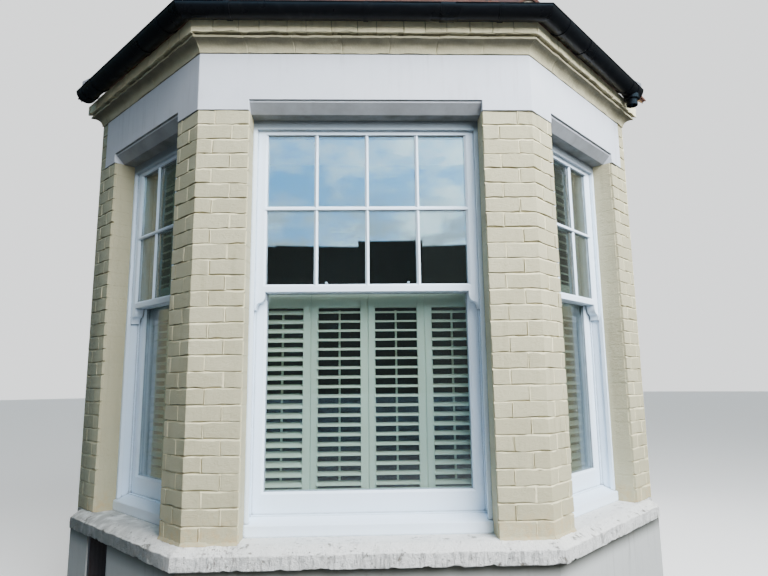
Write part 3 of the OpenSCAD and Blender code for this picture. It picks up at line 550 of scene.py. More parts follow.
def make_underside_shade():
    """Painted shade on faces turned to the ground, in soft patches."""
    g = Effect("Underside Dirt", ("Mask",), Amount=0.6)
    down = g.fade(g.upward(), -0.95, -0.2)
    g.give(Mask=g.times(down, g.span(g.clouds(9.0), 0.3, 0.7, 0.8, 1.0), g.inputs["Amount"]))


def make_crevice_shade():
    """Painted shade in the narrow gaps between members, from ambient occlusion."""
    g = Effect("Crevice Dirt", ("Mask",), Reach=0.016, Amount=0.7)
    open_sky = g.node("ShaderNodeAmbientOcclusion", {"Distance": g.inputs["Reach"]}, samples=6)["AO"]
    patches = g.span(g.clouds(20.0), 0.3, 0.7, 0.7, 1.0)
    g.give(Mask=g.times(g.fade(open_sky, 0.38, 0.76), patches, g.inputs["Amount"]))


def make_softened_edge():
    """Normals that round off sharp arrises, and a broken mask along them."""
    g = Effect("Softened Edge", ("Normal", "Edge"), Radius=0.0015, Wear=0.5)
    rounded = g.node("ShaderNodeBevel", {"Radius": g.inputs["Radius"]}, samples=4)[0]
    plain = g.node("ShaderNodeNewGeometry")["Normal"]
    turned = g.span(g.minus(1.0, g.vectors("DOT_PRODUCT", rounded, plain)["Value"]), 0.01, 0.12)
    broken = g.span(g.clouds(55.0, 4.0, 0.65), 0.45, 0.65)
    g.give(Normal=rounded, Edge=g.times(turned, broken, g.inputs["Wear"]))


def make_stone_grain():
    """Pitted mineral surface: grains, pits and worn patches."""
    g = Effect("Stone Grain", ("Height", "Worn", "Pits"), Grain=260.0, Worn=0.5)
    cells = g.node("ShaderNodeTexVoronoi", {"Vector": g.where, "Scale": g.times(g.inputs["Grain"], 0.35)})
    pits = g.times(g.fade(cells["Distance"], 0.05, 0.28), g.span(g.clouds(24.0), 0.5, 0.7))
    edge = g.minus(0.95, g.times(g.inputs["Worn"], 0.6))
    worn = g.span(g.minus(g.clouds(16.0, 8.0, 0.72), edge), -0.02, 0.03)
    height = g.minus(g.times(g.clouds(g.inputs["Grain"], 5.0, 0.7), 0.5), g.times(pits, 0.6))
    g.give(Height=g.minus(height, g.times(worn, 0.5)), Worn=worn, Pits=pits)


def make_sawn_grain():
    """Growth rings of sawn timber, and fibres along the second axis of the vector."""
    g = Effect("Sawn Grain", ("Rings", "Height"), Scale=40.0)
    warped = g.node("ShaderNodeTexNoise", {"Vector": g.where, "Scale": 2.0, "Detail": 2.0})["Color"]
    moved = g.vectors("ADD", g.where, g.vectors("MULTIPLY", warped, (0.12, 0.12, 0.12))[0])[0]
    rings = g.node(
        "ShaderNodeTexWave", {"Vector": moved, "Scale": g.inputs["Scale"], "Distortion": 4.0, "Detail": 3.0},
        wave_type="RINGS", rings_direction="Y",
    )["Fac"]
    fibres = g.clouds(220.0, 3.0, stretch=(1.0, 0.06, 1.0))
    g.give(Rings=g.times(g.plus(rings, fibres), 0.5), Height=fibres)


EFFECTS = (
    make_paint_relief, make_rain_streaks, make_underside_shade, make_crevice_shade, make_softened_edge,
    make_stone_grain, make_sawn_grain,
)


# ---- Materials


class Finish(Graph):
    """One material being made, on object coordinates."""

    def __init__(self, name, roughness, **constants):
        self.material = bpy.data.materials.new(BAY + name)
        self.material.use_nodes = True
        super().__init__(self.material.node_tree)
        self.tree.nodes.clear()
        self.shader = self.tree.nodes.new("ShaderNodeBsdfPrincipled")
        self.set(Roughness=roughness, **constants)
        self.node("ShaderNodeOutputMaterial", {"Surface": self.shader.outputs[0]})
        self.where = self.node("ShaderNodeTexCoord")["Object"]

    def set(self, **inputs):
        """Sets inputs of the shader; an underscore stands for a space."""
        self.feed(self.shader, {name.replace("_", " "): value for name, value in inputs.items()})

    def group(self, name, **inputs):
        return self.node("ShaderNodeGroup", {"Vector": self.where, **inputs}, node_tree=bpy.data.node_groups[name])

    def relief(self, lumps, grain, strokes=0.0):
        return self.group("Paint Relief", Lumps=lumps, Grain=grain, Strokes=strokes)

    def streaks(self, width, amount):
        return self.group("Rain Streaks", Width=width, Amount=amount)["Mask"]

    # painted shade on faces turned down
    def underside(self, amount):
        return self.group("Underside Dirt", Amount=amount)["Mask"]

    def tint(self):
        return self.node("ShaderNodeAttribute", attribute_name="tint")["Fac"]

    def east(self):
        return self.axes(self.where)["X"]

    def level(self):
        return self.axes(self.where)["Z"]

    def bump(self, height, depth, edge_radius=None):
        """Relief of a real depth in metres, on normals with softened edges if a radius is given."""
        inputs = {"Height": height, "Strength": 1.0, "Distance": depth}
        if edge_radius:
            inputs["Normal"] = self.group("Softened Edge", Radius=edge_radius)["Normal"]
        self.set(Normal=self.node("ShaderNodeBump", inputs)[0])


HOUSE_SHADE_END = -1.66, -1.55  # x where the painted shade of the house wall is full, and where it ends
RUST_SPOT = -0.66, FRONT_Y - 0.03, SILL_TOP - 0.03


def painted_brick(name, cream):
    """Thick masonry paint, stained at the foot, with painted shade on faces turned down, on the cornice under the
    gutter and at the wet left corner beside the house wall
    """
    m, look = Finish(name, 0.72), bpy.context.scene.bay_masonry
    (height, patches), level = m.relief(48.0, 420.0, 0.35), m.level()
    base = m.blend(m.tint(), cream, scaled(cream, 0.90, 0.89, 0.86))
    patched = m.blend(m.span(patches, 0.4, 0.7, 0, 0.4), base, scaled(cream, 0.82))
    blotches = m.span(m.clouds(30.0, 6.0, 0.7), 0.4, 0.7)
    foot = m.times(m.fade(level, SILL_TOP, SILL_TOP + 0.17, 0.9), blotches)
    stained = m.blend(foot, patched, shade(0.74, 0.64, 0.47))
    # painted shade of the house wall over the left end of the brickwork, with some wet brick; stronger lower down
    left_end = m.fade(m.east(), *HOUSE_SHADE_END)
    corner = m.times(left_end, m.span(blotches, 0.0, 1.0, 0.7, 1.0))
    damp_and_shade = m.times(corner, m.span(level, SILL_TOP + 0.9, HEAD - 0.2, 0.85, 0.55))
    # painted shade of the gutter over the cavetto and fillet of the cornice
    cornice_shade = m.times(
        m.span(level, LINTEL_TOP + 0.01, LINTEL_TOP + 0.05, 0.0, 0.28),
        m.fade(level, CORNICE_TOP - 0.075, CORNICE_TOP - 0.065),
    )
    # painted shade: faces turned down, the cornice under the gutter and the left corner by the house
    painted_shade = m.larger(m.plus(m.underside(0.75), cornice_shade, clamp=True), damp_and_shade)
    with_painted_shade = m.blend(painted_shade, stained, scaled(cream, 0.25))
    m.set(Base_Color=m.blend(m.streaks(26.0, 0.35), with_painted_shade, look.grime))
    m.bump(height, 0.006)


def smooth_paint(name, tone, roughness=0.6, relief_depth=0.0007, streak=0.25, painted_shade=0.82, sill_shadow=0.0):
    """Flat paint on render, plaster and the lintel band, with painted shade on faces turned down and under the sill"""
    m, look = Finish(name, roughness, Specular_IOR_Level=0.2), bpy.context.scene.bay_masonry
    height, patches = m.relief(26.0, 420.0, 0.5)
    base = m.blend(m.span(patches, 0.35, 0.7, 0, 0.4), tone, scaled(tone, 0.9))
    # painted shade on faces turned down, and a painted shadow in a band under the sill
    dark = m.larger(m.underside(painted_shade), m.span(m.level(), SILL_FOOT - 0.10, SILL_FOOT - 0.005, 0.0, sill_shadow))
    with_painted_shade = m.blend(dark, base, shade(0.26, 0.255, 0.205))
    m.set(Base_Color=m.blend(m.streaks(34.0, streak), with_painted_shade, look.grime))
    m.bump(height, relief_depth, 0.002)


def sill_stone():
    """Paint worn off the stone: scratched in front, lighter on top than on upright faces, darker towards the left with
    painted shade there, painted shade underneath, and one rusty run
    """
    m, look = Finish("sill_stone", 0.85), bpy.context.scene.bay_masonry
    east, up = m.east(), m.span(m.upward(), 0.2, 0.9)
    stone, (height, patches) = m.group("Stone Grain", Grain=150.0, Worn=0.56), m.relief(60.0, 240.0, 0.2)
    lines = m.span(m.clouds(75.0, 6.0, 0.75, stretch=(1.0, 1.0, 0.22)), 0.5, 0.64)
    scratches = m.times(lines, m.fade(up, 0.0, 0.6))
    front = m.blend(scratches, scaled(look.sill, 0.92), scaled(look.sill, 0.62))
    # faces turned up lighter than upright faces
    lighter_on_top = m.blend(up, front, look.sill)
    paint = m.blend(m.span(patches, 0.35, 0.7, 0, 0.4), lighter_on_top, scaled(look.sill, 0.84))
    worn = m.blend(m.times(stone["Worn"], 0.75), paint, look.stone)
    pitted = m.blend(m.times(stone["Pits"], 0.55), worn, look.grime)
    # darker in blotches towards the left: painted shade of the left side, with some wet stone
    damp_and_shade = m.times(m.fade(east, -1.5, -0.75, 0.6), m.span(m.clouds(13.0), 0.3, 0.6))
    soiled = m.blend(damp_and_shade, pitted, shade(0.50, 0.475, 0.42))
    # painted shade on the upright faces at the left
    shaded = m.times(m.fade(east, -1.1, -0.78, 0.7), m.fade(up, 0.0, 0.7))
    darker = m.blend(shaded, soiled, shade(0.32, 0.31, 0.28))
    from_rust = m.vectors("DISTANCE", m.where, RUST_SPOT)["Value"]
    runs = m.span(m.clouds(60.0, 5.0, 0.7, stretch=(1.0, 1.0, 0.3)), 0.5, 0.62)
    rusty = m.blend(m.times(m.fade(from_rust, 0.03, 0.13, 0.75), runs), darker, shade(0.36, 0.26, 0.20))
    # painted shade on faces turned down
    with_painted_shade = m.blend(m.underside(0.85), rusty, grey(0.16))
    m.set(Base_Color=m.blend(m.streaks(40.0, 0.5), with_painted_shade, look.grime))
    m.bump(m.plus(stone["Height"], m.minus(height, m.times(scratches, 0.3))), 0.014)


def gloss_black():
    """Gutter paint, dusty in places"""
    m, look = Finish("gutter_black", 0.3, Specular_IOR_Level=0.1), bpy.context.scene.bay_joinery
    (height, patches), dust = m.relief(30.0, 500.0, 0.6), m.times(m.streaks(22.0, 0.5), 0.6)
    m.set(Base_Color=m.blend(dust, look.gutter, grey(0.2)), Roughness=m.span(patches, 0.3, 0.7, 0.22, 0.48))
    m.bump(height, 0.0006, 0.0015)


def clay_tile():
    """Old tiles, each with a tint of its own, under lichen"""
    m, look = Finish("clay_tile", 0.82), bpy.context.scene.bay_roof
    grain, patches = m.group("Stone Grain", Grain=300.0, Worn=0.45), m.relief(35.0, 300.0)["Patches"]
    base = m.blend(m.tint(), look.clay, scaled(look.clay, 0.55))
    spotted = m.blend(m.times(grain["Worn"], 0.6), base, look.moss)
    m.set(Base_Color=m.blend(m.span(patches, 0.45, 0.75, 0, 0.45), spotted, scaled(look.moss, 0.5)))
    m.bump(grain["Height"], 0.0012)


def hip_mortar():
    m, tone = Finish("hip_mortar", 0.9), bpy.context.scene.bay_roof.mortar
    grain, dark = m.group("Stone Grain", Grain=240.0, Worn=0.5), scaled(tone, 0.6)
    m.set(Base_Color=m.blend(grain["Pits"], m.blend(grain["Worn"], tone, dark), dark))
    m.bump(grain["Height"], 0.003)


def lead():
    """Dull sheet lead with a pale bloom"""
    m, look = Finish("lead", 0.65, Specular_IOR_Level=0.15), bpy.context.scene.bay_roof
    height, patches = m.relief(14.0, 160.0, 0.1)
    bloom = m.span(patches, 0.35, 0.65, 0, 0.7)
    m.set(Base_Color=m.blend(bloom, look.lead, grey(0.52)), Roughness=m.span(patches, 0.3, 0.7, 0.55, 0.8))
    m.bump(height, 0.004, 0.002)


def joinery_paint(name, tone, roughness, wear, crevice_shade=0.0, head_shade=0.0):
    """Satin paint, with painted shade in narrow gaps and in a band under the soffit of the opening"""
    m = Finish(name, roughness, Specular_IOR_Level=0.25)
    (height, patches), edge = m.relief(22.0, 700.0, 0.7), m.group("Softened Edge", Radius=0.0016, Wear=0.5)["Edge"]
    base = m.blend(m.span(patches, 0.4, 0.75, 0, 0.25), tone, scaled(tone, 0.93))
    worn = m.blend(m.plus(m.streaks(45.0, wear), m.times(edge, wear)), base, scaled(tone, 0.72))
    # painted shade: ambient occlusion in narrow gaps, and a band under the soffit of the opening
    gap = m.group("Crevice Dirt", Amount=crevice_shade)["Mask"]
    dark = m.larger(gap, m.span(m.level(), HEAD - 0.078, HEAD - 0.03, 0.0, head_shade))
    m.set(
        Base_Color=m.blend(dark, worn, shade(0.20, 0.21, 0.19)),
        Roughness=m.span(patches, 0.3, 0.7, roughness * 0.85, roughness * 1.2),
    )
    m.bump(height, 0.00035, 0.0016)


def timber(name, tone, turn=(0, 0, 0)):
    """Sawn wood. turn brings the grain along the boards."""
    m = Finish(name, 0.75)
    turned = m.node("ShaderNodeMapping", {"Vector": m.where, "Rotation": turn})[0]
    grain, patches = m.group("Sawn Grain", Vector=turned, Scale=28.0), m.relief(30.0, 300.0)["Patches"]
    rings = m.blend(m.span(grain["Rings"], 0.25, 0.75), tone, scaled(tone, 0.72, 0.6, 0.5))
    toned = m.blend(m.times(m.tint(), 0.5), rings, scaled(tone, 0.55))
    m.set(Base_Color=m.blend(m.span(patches, 0.35, 0.7, 0, 0.4), toned, scaled(tone, 0.6)))
    m.bump(grain["Height"], 0.0009, 0.0015)


def clear_glass(name, tone, passes):
    """Clear panes. Light that only passes through them on its way to a surface is hardly held back."""
    m = Finish(name, 0.0, Transmission_Weight=1.0, IOR=1.5, Base_Color=(*tone, 1.0))
    shadow = m.node("ShaderNodeLightPath")["Is Shadow Ray"]
    m.set(Alpha=m.minus(1.0, m.times(shadow, passes)), Roughness=m.streaks(30.0, 0.05))


def raw_brickwork():
    """Unpainted bonded brick, where the bay is cut off"""
    m, look = Finish("raw_brickwork", 0.88), bpy.context.scene.bay_masonry
    east, north, level = m.axes(m.where)
    where = m.node("ShaderNodeCombineXYZ", {0: m.plus(east, north), 1: m.minus(level, SILL_TOP)})[0]
    courses = m.node(
        "ShaderNodeTexBrick",
        {"Vector": where, "Scale": 1.0, "Mortar Size": look.joint / 2, "Brick Width": 0.225, "Row Height": look.course,
         "Color1": (0.0, 0.0, 0.0, 1.0), "Color2": (1.0, 1.0, 1.0, 1.0)},
    )
    grain, patches = m.group("Stone Grain", Grain=260.0, Worn=0.5), m.relief(30.0, 300.0)["Patches"]
    fired = m.times(m.node("ShaderNodeSeparateColor", {0: courses["Color"]})[0], patches)
    base = m.blend(fired, look.raw_brick, scaled(look.raw_brick, 0.6))
    m.set(Base_Color=m.blend(m.larger(grain["Worn"], courses["Fac"]), base, shade(0.62, 0.58, 0.50)))
    m.bump(m.minus(grain["Height"], courses["Fac"]), 0.003)


def make_materials():
    masonry, joinery = bpy.context.scene.bay_masonry, bpy.context.scene.bay_joinery
    painted_brick("painted_brick", masonry.cream)
    # painted highlight: a lighter copy of the brick paint for the mortar lips, the perpends and the plain cornice
    # course under the gutter
    painted_brick("highlit_paint", scaled(masonry.cream, 1.65))
    # painted shade on the soffits of the lintel band and on the ceiling, and a painted shadow under the sill on the
    # render
    smooth_paint("lintel_paint", masonry.lintel)
    smooth_paint("render", masonry.render, 0.7, 0.0012, 0.4, sill_shadow=0.9)
    smooth_paint("plaster", joinery.plaster, 0.8, 0.0006, 0.0, 0.65)
    for make in (sill_stone, gloss_black, clay_tile, hip_mortar, lead, raw_brickwork):
        make()
    joinery_paint("white_paint", joinery.white, 0.34, 0.12, 0.85, 0.82)
    joinery_paint("white_metal", joinery.white, 0.25, 0.05)
    joinery_paint("shutter_paint", joinery.shutter, 0.42, 0.1)
    timber("carpentry", joinery.timber)
    timber("floorboards", joinery.boards)
    timber("dark_board", shade(0.20, 0.15, 0.14), (math.radians(90), 0, 0))
    clear_glass("glazing", (0.97, 0.99, 0.98), 0.88)
    # painted shade: the side panes are a darker copy of the glass, which dims the shutters seen through them
    clear_glass("shaded_side_glazing", (0.70, 0.73, 0.71), 0.77)


def material(name):
    return bpy.data.materials[BAY + name]


# ---- Brickwork


# the second finish is a lighter copy of the brick paint: painted highlight on mortar and on the top cornice course
PIER_FINISHES = ["painted_brick", "highlit_paint", "plaster", "raw_brickwork"]
PAINT, HIGHLIT, PLASTER, RAW = range(4)
RAKED = 0.003  # depth of the open joints in the bonded ends


def oblong(place, start, end, back, face=0.0):
    """Plan corners of a brick whose face runs from start to end, at place(distance along, out)."""
    return [place(start, face), place(end, face), place(end, back), place(start, back)]


class Bricks(Pile):
    """A pile of painted bricks and mortar, with random draws of its own"""

    def __init__(self, name, seed):
        super().__init__(name)
        self.look, self.rng = bpy.context.scene.bay_masonry, random.Random(seed)

    def brick(self, corners, outer, low, high, kind=PAINT):
        """Adds a brick on plan corners. outer lists the sides, by their first corner, that face outwards."""
        look, rng = self.look, self.rng
        bm = prism(corners, low, high)
        middles = [(corners[i] + corners[(i + 1) % len(corners)]) / 2 for i in outer]
        faces = [
            f for f in bm.faces
            if abs(f.normal.z) < 0.5 and any((f.calc_center_median().xy - m).length < 1e-4 for m in middles)
        ]
        edges = {e for f in faces for e in f.edges}
        long = [e for e in edges if abs(e.verts[0].co.z - e.verts[1].co.z) < 1e-6 and e.calc_length() > 0.05]
        split = set(bmesh.ops.subdivide_edges(bm, edges=long, cuts=3, use_grid_fill=True)["geom_split"])
        edges = [e for e in bm.edges if e in edges or e in split]
        bevel(bm, [e for e in edges if e.calc_face_angle(0) > math.radians(20)], look.brick_edge)
        shift = Vector([rng.uniform(-1, 1) for _ in range(3)]) * look.unevenness * 0.5
        bmesh.ops.translate(bm, vec=shift, verts=bm.verts)
        roughen(bm, look.unevenness, size=0.05)
        roughen(bm, look.brick_wander, size=0.06, seed=rng.uniform(0, SEEDS), ways=UP_AND_DOWN)
        self.add(bm, rng.random(), kind)

    def perpend(self, start, end, depth, low, high):
        """Adds mortar between two bricks, from one plan point to the other, often with a slot along one side."""
        look, rng = self.look, self.rng
        along, arris, past, most_back = (end - start).normalized(), 0.0018, 0.001, 0.0012
        gap = look.slot * rng.choice((-0.6, 0.5, 0.9, 1.1))
        if rng.random() < 0.5:
            start = start + along * gap
        else:
            end = end - along * gap
        back = depth.normalized() * rng.uniform(-most_back, most_back)
        face = [start + back, end + back]
        bm = prism([*face, end + depth, start + depth], low - past, high + past)
        tall = [e for e in bm.edges if e.calc_length() > 0.03]
        bevel(bm, [e for e in tall if min((e.verts[0].co.xy - point).length for point in face) < 1e-5], arris)
        slice_up(bm, 0.02, 2, low, high)
        roughen(bm, look.unevenness * 0.7, size=0.018)
        self.add(bm, rng.random(), HIGHLIT)

    def backing(self, ring, kinds, low, courses, height, plan=None):
        """Adds the wall behind the bricks. Its mortar slopes out to each brick, under a dark slot.

        ring takes a level and a set-back. With a plan, the mortar wanders, so that the slots open and close."""
        look, half, slot, deep = self.look, self.look.joint / 2, self.look.slot, self.look.slot_depth
        mortar = (  # heights over the middle of a joint, with their set-backs
            (-half - 0.0062, deep), (-half - 0.0058, 0.0012), (-half - 0.001, 0.0005),
            (half - slot, 0.0036), (half - slot + 0.0002, deep),
        )
        stations = [(low + k * height + rise, back) for k in range(1, courses) for rise, back in mortar]
        bm = sweep(ring, [(low, deep), *stations, (low + courses * height, deep)], kinds)
        if plan:
            ends = sorted((plan.side * plan.sizes.front_opening / 2, plan.at_wall(0).x))
            slice_up(bm, 0.022, 0, *ends)
            roughen(
                bm, look.struck, size=0.026, seed=2.0, ways=UP_AND_DOWN,
                keep=lambda co: plan.depth(co) > deep - 0.001 or co.y > WALL_Y - 0.005,
            )
        self.add(bm)

    def foot(self, place, length):
        """Adds lumpy mortar and paint in the corner between a pier and the sill, at place(distance along, out)."""
        shape = [(-0.006, -0.002), (0.010, -0.004), (0.006, 0.003), (0.0015, 0.012), (-0.006, 0.012)]
        seed, steps = self.rng.uniform(0, SEEDS), round(length / 0.011)

        def ring(s):
            lumps = 0.5 * noise.noise(Vector((s / 0.05, seed, 0))), 0.35 * noise.noise(Vector((s / 0.017, seed, 9)))
            size = 0.8 + lumps[0] + lumps[1]
            grown = [(out * size if out > 0 else out, z * size if z > 0 else z) for out, z in shape]
            return [lifted(place(s, out), SILL_TOP + z) for out, z in grown]

        self.add(sweep(ring, [length * k / steps for k in range(steps + 1)]), 0.5, PAINT)


def corner_pier(side):
    """Brick pier at a front corner, in alternating cut bricks around the corner."""
    plan, name = Plan(side), "corner_pier_" + face_name(side)
    pile = Bricks("bricks_" + name, 11 + side)
    sizes, look = plan.sizes, pile.look
    deep, half_joint, opening = -sizes.reveal, look.joint / 2, sizes.front_opening / 2
    courses = round((HEAD - SILL_TOP) / look.course)

    def ring(station):
        z, back = station
        flush = -look.reveal_skin * (1.0 if back == look.slot_depth else 0.6)
        face, rebate = -back - look.brick_edge, plan.jamb_near + sizes.rebate
        return raised([
            plan.front(opening + flush, face), plan.arris(-back),
            plan.canted(plan.jamb_near + flush, face), plan.canted(plan.jamb_near + flush, deep),
            plan.canted(rebate, deep), plan.canted(rebate, -sizes.wall), plan.arris(-sizes.wall),
            plan.front(opening + sizes.rebate, -sizes.wall), plan.front(opening + sizes.rebate, deep),
            plan.front(opening + flush, deep),
        ], z)

    kinds = [HIGHLIT] * 2 + [PAINT] * 2 + [PLASTER] * 4 + [PAINT] * 2
    pile.backing(ring, kinds, SILL_TOP, courses, look.course, plan)
    for k in range(courses):
        low = SILL_TOP + k * look.course + half_joint
        high = low + look.course - look.joint
        cuts = (look.long_cut, look.short_cut) if k % 2 else (look.short_cut, look.long_cut)
        cut_front, cut_side = (cut + pile.rng.uniform(-0.006, 0.006) for cut in cuts)
        x, along = sizes.front_width / 2 - cut_front, plan.side_width / 2 - cut_side
        front = oblong(plan.front, opening, x - half_joint, deep)
        corner = [
            plan.front(x + half_joint, 0), plan.arris(0), plan.canted(along + half_joint, 0),
            plan.canted(along + half_joint, deep), plan.arris(deep), plan.front(x + half_joint, deep),
        ]
        flank = oblong(plan.canted, along - half_joint, plan.jamb_near, deep)
        for corners, outer in ((front, (0, 3)), (corner, (0, 1)), (flank, (0, 1))):
            pile.brick(corners, outer, low, high)
        pile.perpend(front[1], corner[0], Vector((0, look.slot_depth)), low, high)
        pile.perpend(corner[2], flank[0], plan.inward(look.slot_depth), low, high)
    pile.foot(lambda s, out: plan.front(opening + s, out), sizes.front_width / 2 - opening)
    pile.foot(lambda s, out: plan.canted(plan.jamb_near + s, out), plan.side_width / 2 - plan.jamb_near)
    pile.finish(PIER_FINISHES, "painted_brick", name)


def wall_pier(side):
    """Brick pier at the house, with its bonded end and the bricks beside the lintel band."""
    plan, name = Plan(side), "wall_pier_" + face_name(side)
    pile = Bricks("bricks_" + name, 31 + side)
    sizes, look = plan.sizes, pile.look
    deep, half_joint, shallow = -sizes.reveal, look.joint / 2, -0.03
    courses = round((HEAD - SILL_TOP) / look.course)
    top_courses = round((LINTEL_TOP - HEAD) / look.course)
    top_height = (LINTEL_TOP - HEAD) / top_courses
    beside_lintel = -plan.side_width / 2 + look.lintel_return

    def ring(station):
        z, back = station
        between = back < look.slot_depth
        jamb = plan.jamb_far + look.reveal_skin * (0.6 if between else 1.0)
        outer, inner, bond_in = plan.bonded(RAKED if between else 0.0)
        return raised([
            plan.canted(jamb, -back - look.brick_edge), plan.canted(jamb, deep),
            plan.canted(plan.jamb_far - sizes.rebate, deep), bond_in, inner, outer,
            plan.at_wall(0), plan.at_wall(-back),
        ], z)

    def top_ring(station):
        z, back = station
        skin = RAKED if back < look.slot_depth else 0.0
        inside = (plan.face_y - beside_lintel * plan.sin - BACK_Y + skin) / plan.cos
        return raised([
            plan.canted(beside_lintel, -back), plan.canted(beside_lintel, inside), plan.bonded(skin)[0],
            plan.at_wall(0), plan.at_wall(-back),
        ], z)

    kinds = [PAINT, PAINT, PLASTER, RAW, RAW, RAW, HIGHLIT, HIGHLIT]
    pile.backing(ring, kinds, SILL_TOP, courses, look.course, plan)
    pile.backing(top_ring, [HIGHLIT, RAW, RAW, HIGHLIT, HIGHLIT], HEAD, top_courses, top_height)
    levels = [(SILL_TOP + k * look.course, look.course) for k in range(courses)]
    levels += [(HEAD + k * top_height, top_height) for k in range(top_courses)]
    for k, (foot, height) in enumerate(levels):
        low = foot + half_joint
        high = low + height - look.joint
        cut = (look.long_cut if k % 2 else look.short_cut) + pile.rng.uniform(-0.008, 0.004)
        along = plan.jamb_far - cut
        if k < courses:
            jamb = oblong(plan.canted, along + half_joint, plan.jamb_far, deep)
            pile.brick(jamb, (0, 1), low, high)
            along -= half_joint
            pile.perpend(jamb[0], plan.canted(along, 0), plan.inward(look.slot_depth), low, high)
        else:
            along = beside_lintel
        rest = [plan.at_wall(0), plan.canted(along, 0), plan.canted(along, shallow), plan.at_wall(shallow)]
        pile.brick(rest, (0,), low, high)
    pile.finish(PIER_FINISHES, "painted_brick", name)


# ---- Cornice, sill and lintels


def face_place(plan, side, short=None):
    """place(share, out) for runs along a face: share 0 is the left or front mitre, 1 the other end.

    On a side face that end is in the plane of the house wall, or a short way off it."""
    def place(share, out):
        if side == 0:
            return Vector((plan.arris(out).x * (2 * share - 1), FRONT_Y - out))
        start = plan.mitre(out)
        end = plan.wall_end(out) if short is None else short - plan.side_width / 2
        return plan.canted(start + (end - start) * share, out)

    return place


def cornice(side):
    """Moulded bricks with cavetto and fillet, a recessed joint and a plain course of single bricks."""
    plan, pile = Plan(side or 1), Bricks("moulded_cornice_" + face_name(side), 51 + side)
    sizes, look, rng = plan.sizes, pile.look, pile.rng
    place, (front_corner, end_corner) = face_place(plan, side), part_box("cornice_front")
    top_out = FRONT_Y - front_corner.y
    top_height, joint, fillet, cavetto = 0.066, 0.009, 0.013, 0.058
    z_joint = CORNICE_TOP - top_height - joint
    z_fillet = z_joint - fillet
    inner, outer, bed, bed_depth = 0.006, 0.056, 0.0045, 0.012
    profile = [(-sizes.wall, LINTEL_TOP), (-bed_depth, LINTEL_TOP), (-bed_depth, LINTEL_TOP + bed)]
    for k in range(9):
        turn = math.radians(90 * k / 8)
        z = LINTEL_TOP + bed + (cavetto - bed) * math.sin(turn)
        profile.append((outer - (outer - inner) * math.cos(turn), z))
    profile += [
        (outer + 0.0015, z_fillet + 0.0005), (outer + 0.003, z_fillet + 0.003), (outer + 0.003, z_joint - 0.003),
        (outer + 0.001, z_joint - 0.0004), (outer - 0.02, z_joint), (outer - 0.02, z_joint + joint),
        (top_out - 0.004, z_joint + joint), (top_out - 0.004, CORNICE_TOP), (-sizes.wall, CORNICE_TOP),
    ]
    moulded = range(3, len(profile) - 5)
    whole = plan.side_width if side else sizes.front_width
    bricks, gap = round(whole / look.moulding_brick), 0.0045 / whole
    stations = [(0.0, 0.0)]
    for k in range(bricks):
        start = k / bricks
        if k:
            stations += [(start - gap, 0.0), (start - gap / 3, 0.004), (start + gap / 3, 0.004), (start + gap, 0.0)]
        stations += [(start + tenth / 10 / bricks, 0.0) for tenth in range(1, 10)]
    stations.append((1.0, 0.0))

    def ring(station):
        share, dip = station
        return [lifted(place(share, out - dip if i in moulded else out), z) for i, (out, z) in enumerate(profile)]

    def fixed(co):
        at_end = side == 0 and abs(co.x) > end_corner.x - 0.1
        return at_end or co.z < LINTEL_TOP + 1e-4 or plan.depth(co) > bed_depth - 0.001 or co.y > WALL_Y - 0.002

    body = sweep(ring, stations, [PAINT] * (len(profile) - 2) + [HIGHLIT, PLASTER])
    roughen(body, 0.0036, size=0.07, seed=3.0, keep=fixed)
    roughen(body, 0.0022, size=0.02, seed=5.0, keep=fixed)
    pile.add(body)
    if side:
        corners = [plan.at_wall(0), *plan.bonded(), plan.canted(plan.wall_end(-sizes.wall), -sizes.wall)]
        pile.add(prism(corners, LINTEL_TOP, CORNICE_TOP), 0.5, RAW)
    count, gap = round(whole / look.cornice_brick), 0.0022 / whole
    marks = [0.0] + [(k + rng.uniform(-0.16, 0.16)) / count for k in range(1, count)] + [1.0]
    for start, end in zip(marks, marks[1:]):
        corners = oblong(place, start + (gap if start else 0), end - (gap if end < 1 else 0), 0.02, top_out)
        low, high = z_joint + joint + rng.uniform(-0.001, 0.001), CORNICE_TOP - rng.uniform(0.0005, 0.0025)
        pile.brick(corners, (0,), low, high, HIGHLIT)
    pile.finish(PIER_FINISHES, "painted_brick", "cornice_" + face_name(side))


